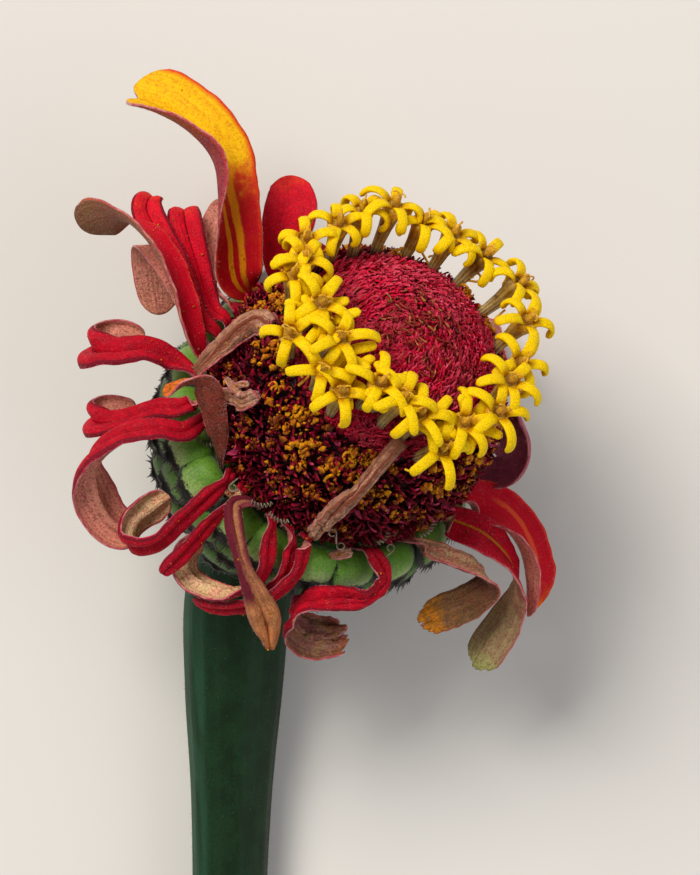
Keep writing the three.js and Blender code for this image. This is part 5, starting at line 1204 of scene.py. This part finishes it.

# Three dried florets have dropped against the side of the cone. Each is a straw-coloured strip that has rolled
# up as it dried, with brown ribs along it, a pale painted highlight beside them and a torn end.
WITHERED_SEED = 40
# The pale stripe is a painted highlight along the strip; the two brown stripes are its ribs
DRY_RIBS_AND_HIGHLIGHT = (("844430", 0.52, 0.04, -0.2, 1.1), ("e4b898", 0.34, 0.05, 0.1, 1.1), ("8c4c38", 0.78, 0.03, -0.2, 0.9))
WITHERED = [
    {"name": "withered_floret_left", "ridges": 0.2, "crumple": 0.16, "ragged": 0.5, "columns": 35,
     "stripes": DRY_RIBS_AND_HIGHLIGHT, "rows": [
        [-11.4, 3.9, 25.6, -0.5, 0.3, 0.8, 1.1, 60], [-10.2, 5.1, 26.2, -0.5, 0.3, 0.8, 1.7, 60],
        [-8.8, 6.6, 27.0, -0.5, 0.3, 0.8, 2.1, -40], [-7.4, 7.9, 27.8, -0.4, 0.4, 0.8, 2.5, -90],
        [-6.2, 8.3, 28.9, -0.3, 0.5, 0.8, 2.8, -120], [-5.2, 7.7, 30.4, -0.3, 0.5, 0.6, 2.1, -130]]},
    {"name": "withered_floret_front", "ridges": 0.13, "crumple": 0.28, "ragged": 0.6, "columns": 35,
     "stripes": DRY_RIBS_AND_HIGHLIGHT, "rows": [
        [5.5, -1.8, 33.2, 0, -0.4, 0.9, 1.7, -150], [3.8, -3.7, 33.3, 0, -0.5, 0.85, 1.7, -170],
        [1.9, -6.0, 31.8, -0.1, -0.6, 0.8, 1.6, -190], [0.5, -7.3, 30.3, -0.2, -0.7, 0.7, 2.2, -150],
        [-0.9, -8.6, 27.8, -0.2, -0.8, 0.6, 1.7, -130], [-2.0, -9.6, 25.2, -0.2, -0.8, 0.5, 1.1, -90]]},
    {"name": "withered_floret_small", "ridges": 0.1, "crumple": 0.16, "rows": [
        [-9.4, 2.0, 26.0, -0.7, -0.1, 0.7, 1.2, 60], [-8.0, 1.9, 28.4, -0.7, -0.1, 0.7, 1.5, 90],
        [-7.4, 1.5, 29.9, -0.6, -0.1, 0.8, 1.6, 90], [-6.3, 2.0, 31.2, -0.6, -0.1, 0.8, 1.3, 60]]},
]
for number, petal in enumerate(WITHERED):
    make_strap({"upper": "straw", "under": "straw", "wave": 0.05, **petal}, petal["rows"], WITHERED_SEED + number,
               "petal_dried", petal["name"])

# Scraps of torn petal lie on the bracts and the claws, where they fell. Each is a dry strip, given by where
# its two ends lie and by its width.
SCRAPS_SEED = 60
SCRAP_RADIUS, SCRAP_LIFT, SCRAP_ARCH = 12.2, 0.5, 0.35
SCRAPS = [(-0.4, -11.3, 1.5, -10.9, 0.9), (-8.9, 3.4, -7.6, 1.9, 0.6), (-8.2, 2.8, -6.9, 2.9, 0.5),
          (-9.3, -5.4, -8.4, -6.3, 0.7), (2.2, -12.2, 3.6, -11.9, 0.5)]


def spot_over(x, y, radius, low, high, lift):
    """The highest point over a place, of those at a radius from the head's axis and between two heights on it."""
    angle, along = np.meshgrid(np.arange(0, 360, 1.5), np.arange(low, high, 0.15))
    spots = on_head(angle, np.full_like(angle, radius), along).reshape(-1, 3)
    off = np.hypot(spots[:, 0] - x, spots[:, 1] - y)
    return np.array([x, y, spots[np.argmin(np.maximum(off, 0.25) - 0.001 * spots[:, 2]), 2]]) + UPRIGHT * lift


for number, (x0, y0, x1, y1, width) in enumerate(SCRAPS):
    ends = [spot_over(x, y, SCRAP_RADIUS, -2, 9, SCRAP_LIFT) for x, y in ((x0, y0), (x1, y1))]
    middle = (ends[0] + ends[1]) / 2 + UPRIGHT * SCRAP_ARCH
    rows = [[*ends[0], 0.2, -0.2, 1, 0.5 * width, 60], [*middle, 0, 0.2, 1, width, 90],
            [*ends[1], 0.2, 0, 1, 0.8 * width, 60]]
    make_strap({"name": f"scrap_{number + 1}", "upper": "straw", "under": "papery", "ragged": 0.3, "crumple": 0.1,
                "ridges": 0.04, "wave": 0.1}, rows, SCRAPS_SEED + number, "petal_dried")

# Pale down stands along the edges and on the undersides of the petals, the withered florets and the scraps.
# Grains of pollen have dropped on their open faces.
PETAL_GRAINS, GRAIN_LIFT = 320, 0.1
petal_bed = new_object("petal_bed", to_frame(np.concatenate(bed_points)), np.concatenate(bed_faces),
                       down=np.concatenate(bed_down))
downy("petal_down", petal_bed, hair_material("Petal down", "d8a8a0", "f0dcd0"), "petal_red",
      density=12.0, thickness=0.011, shortest=0.06, longest=0.2, tilt=0.9, seed=7)
open_spots = np.concatenate(open_spots)
grain = open_spots[rng.integers(0, len(open_spots), PETAL_GRAINS)] + UPRIGHT * GRAIN_LIFT
grain_size = (0.07 + 0.13 * rng.random(PETAL_GRAINS) ** 2)[:, None] * [1, 1, 1]
grain_ways = [unit(rng.normal(0, 1, (PETAL_GRAINS, 3))) for _ in range(2)]
set_out("pollen_dust", lump, pollen, "floret_yellow", grain, *grain_ways, grain_size,
        rng.uniform(0.6, 1, PETAL_GRAINS))

# Old styles curl on the flower. They are fine threads: grey coils and hooks dried on the rim, and yellow rings
# beside the open florets. Each is given by its place and its heading in degrees.
STYLE_LIFT = 0.3
COILS = [(-12.9, 0.5, 250), (-11.6, -1.3, 300), (-6.9, -6.7, 320), (-5.4, -7.6, 300), (3.5, -10.2, 20),
         (-0.5, -8.4, 200), (7.0, -9.6, 10)]
HOOKS = [(0.5, -10.4, 180), (-1.4, -9.0, 60), (-11.9, -2.6, 200), (-8.4, -5.6, 120), (4.6, -10.6, 300),
         (-0.2, -9.3, 350)]
RINGS = [(8.0, 13.3, 200), (11.7, 11.8, 250), (12.4, 2.6, 150), (15.3, 2.6, 20), (0.4, 15.2, 160), (6.7, -4.0, 240),
         (-2.4, 3.6, 300), (13.6, 8.2, 120)]


def coil(at, heading, length, radius, pitch):
    """A thread wound round a line that bends as it runs."""
    t = np.linspace(0, 1, int(length / pitch * 12))[:, None]
    bend = np.radians(heading + 70 * t)
    run = np.concatenate([np.cos(bend), np.sin(bend), -0.1 + 0 * t], 1)
    middle = at + np.cumsum(run, axis=0) * length / len(t)
    aside = np.concatenate([-np.sin(bend), np.cos(bend), 0 * t], 1)
    turn = t * length / pitch * math.tau
    return middle + radius * (aside * np.cos(turn) + UPRIGHT * np.sin(turn))


def hooked(at, heading, radius, turns, tail):
    """A thread in an open ring, with a short straight tail that dips at its end."""
    t = np.linspace(0, 1, 22)[:, None]
    angle = math.radians(heading) + turns * math.tau * t
    curl = radius * (1 - 0.25 * t)
    ring = at + np.concatenate([curl * np.cos(angle), curl * np.sin(angle), 0.25 * t], 1)
    way = unit(ring[0] - ring[1])
    return np.concatenate([[ring[0] + way * tail * k - UPRIGHT * 0.15 * k for k in (1, 0.5)], ring])


dry_thread = plain_skin("Dry thread", "9c8c78", "544434", 2200.0, 0.7, 9000.0, 0.03)
# They lie at a radius from the head's axis and between two heights on it
for name, places, (radius, low, high), path, form, girth, material, slot in (
    ("styles_coiled", COILS, (12.5, -2, 3), coil, (1.9, 0.17, 0.3), 0.055, dry_thread, "petal_dried"),
    ("styles_hooked", HOOKS, (12.4, -2, 4), hooked, (0.33, 0.9, 0.8), 0.06, dry_thread, "petal_dried"),
    ("styles_ringed", RINGS, (10.8, 8, 17.5), hooked, (0.38, 0.85, 0.9), 0.1, yellow_thread, "floret_yellow"),
):
    threads(name, [path(spot_over(x, y, radius, low, high, STYLE_LIFT), heading, *form)
                   for x, y, heading in places], girth, material, slot)

for shape in (*ribbons, lump, hook, spike):
    bpy.data.objects.remove(shape)

# The stage is a plain pale floor under soft studio light: a warm lamp from the far left and a cool, wider one
# from the right. The camera looks straight down on the flower.
CAMERA_OVER, CAMERA_DISTANCE, CAMERA_ABOVE, VIEW_HEIGHT = (1.25, -1.46), 420, 20, 72.9
FLOOR_HALF = 2
LAMPS_AIM = Vector((0, 0, 0.015))
WORLD_LIGHT = 0.35
floor_material, tree, shader = new_material("Floor", specular_ior_level=0.2, roughness=0.8)
look = skin_look(tree, "e4e2de", "e8e6e2", 3.0, 0.5, 9.0)
tree.links.new(mixed(tree, 0.9, look["Colour"], "e6e4e0"), shader.inputs["Base Color"])
floor = new_object("floor", np.array([[-1, -1, 0], [1, -1, 0], [1, 1, 0], [-1, 1, 0]]) * FLOOR_HALF, [[0, 1, 2, 3]],
                   smooth=False)
floor.data.materials.append(floor_material)

camera_data = bpy.data.cameras.new("camera")
camera_data.lens = camera_data.sensor_width * CAMERA_DISTANCE / VIEW_HEIGHT
camera_data.clip_start = 0.01
camera_data.clip_end = 10
camera = linked("camera", camera_data)
camera.location = to_frame([*CAMERA_OVER, CAMERA_DISTANCE + CAMERA_ABOVE])
bpy.context.scene.camera = camera


def lamp(name, power, size, at, colour):
    light = bpy.data.lights.new(name, "AREA")
    light.energy, light.size, light.color = power, size, shade(colour)[:3]
    made = linked(name, light)
    made.location = at
    made.rotation_euler = (LAMPS_AIM - Vector(at)).to_track_quat("-Z", "Y").to_euler()


lamp("key", 5.0, 0.35, (-0.28, 0.38, 0.6), "fff8ee")
lamp("fill", 1.5, 0.6, (0.6, -0.25, 0.5), "fcfaff")
world = bpy.data.worlds.new("studio")
world.use_nodes = True
world.node_tree.nodes["Background"].inputs[0].default_value = shade("eeeeee")
world.node_tree.nodes["Background"].inputs[1].default_value = WORLD_LIGHT
bpy.context.scene.world = world
bpy.context.scene.view_settings.view_transform = "Standard"
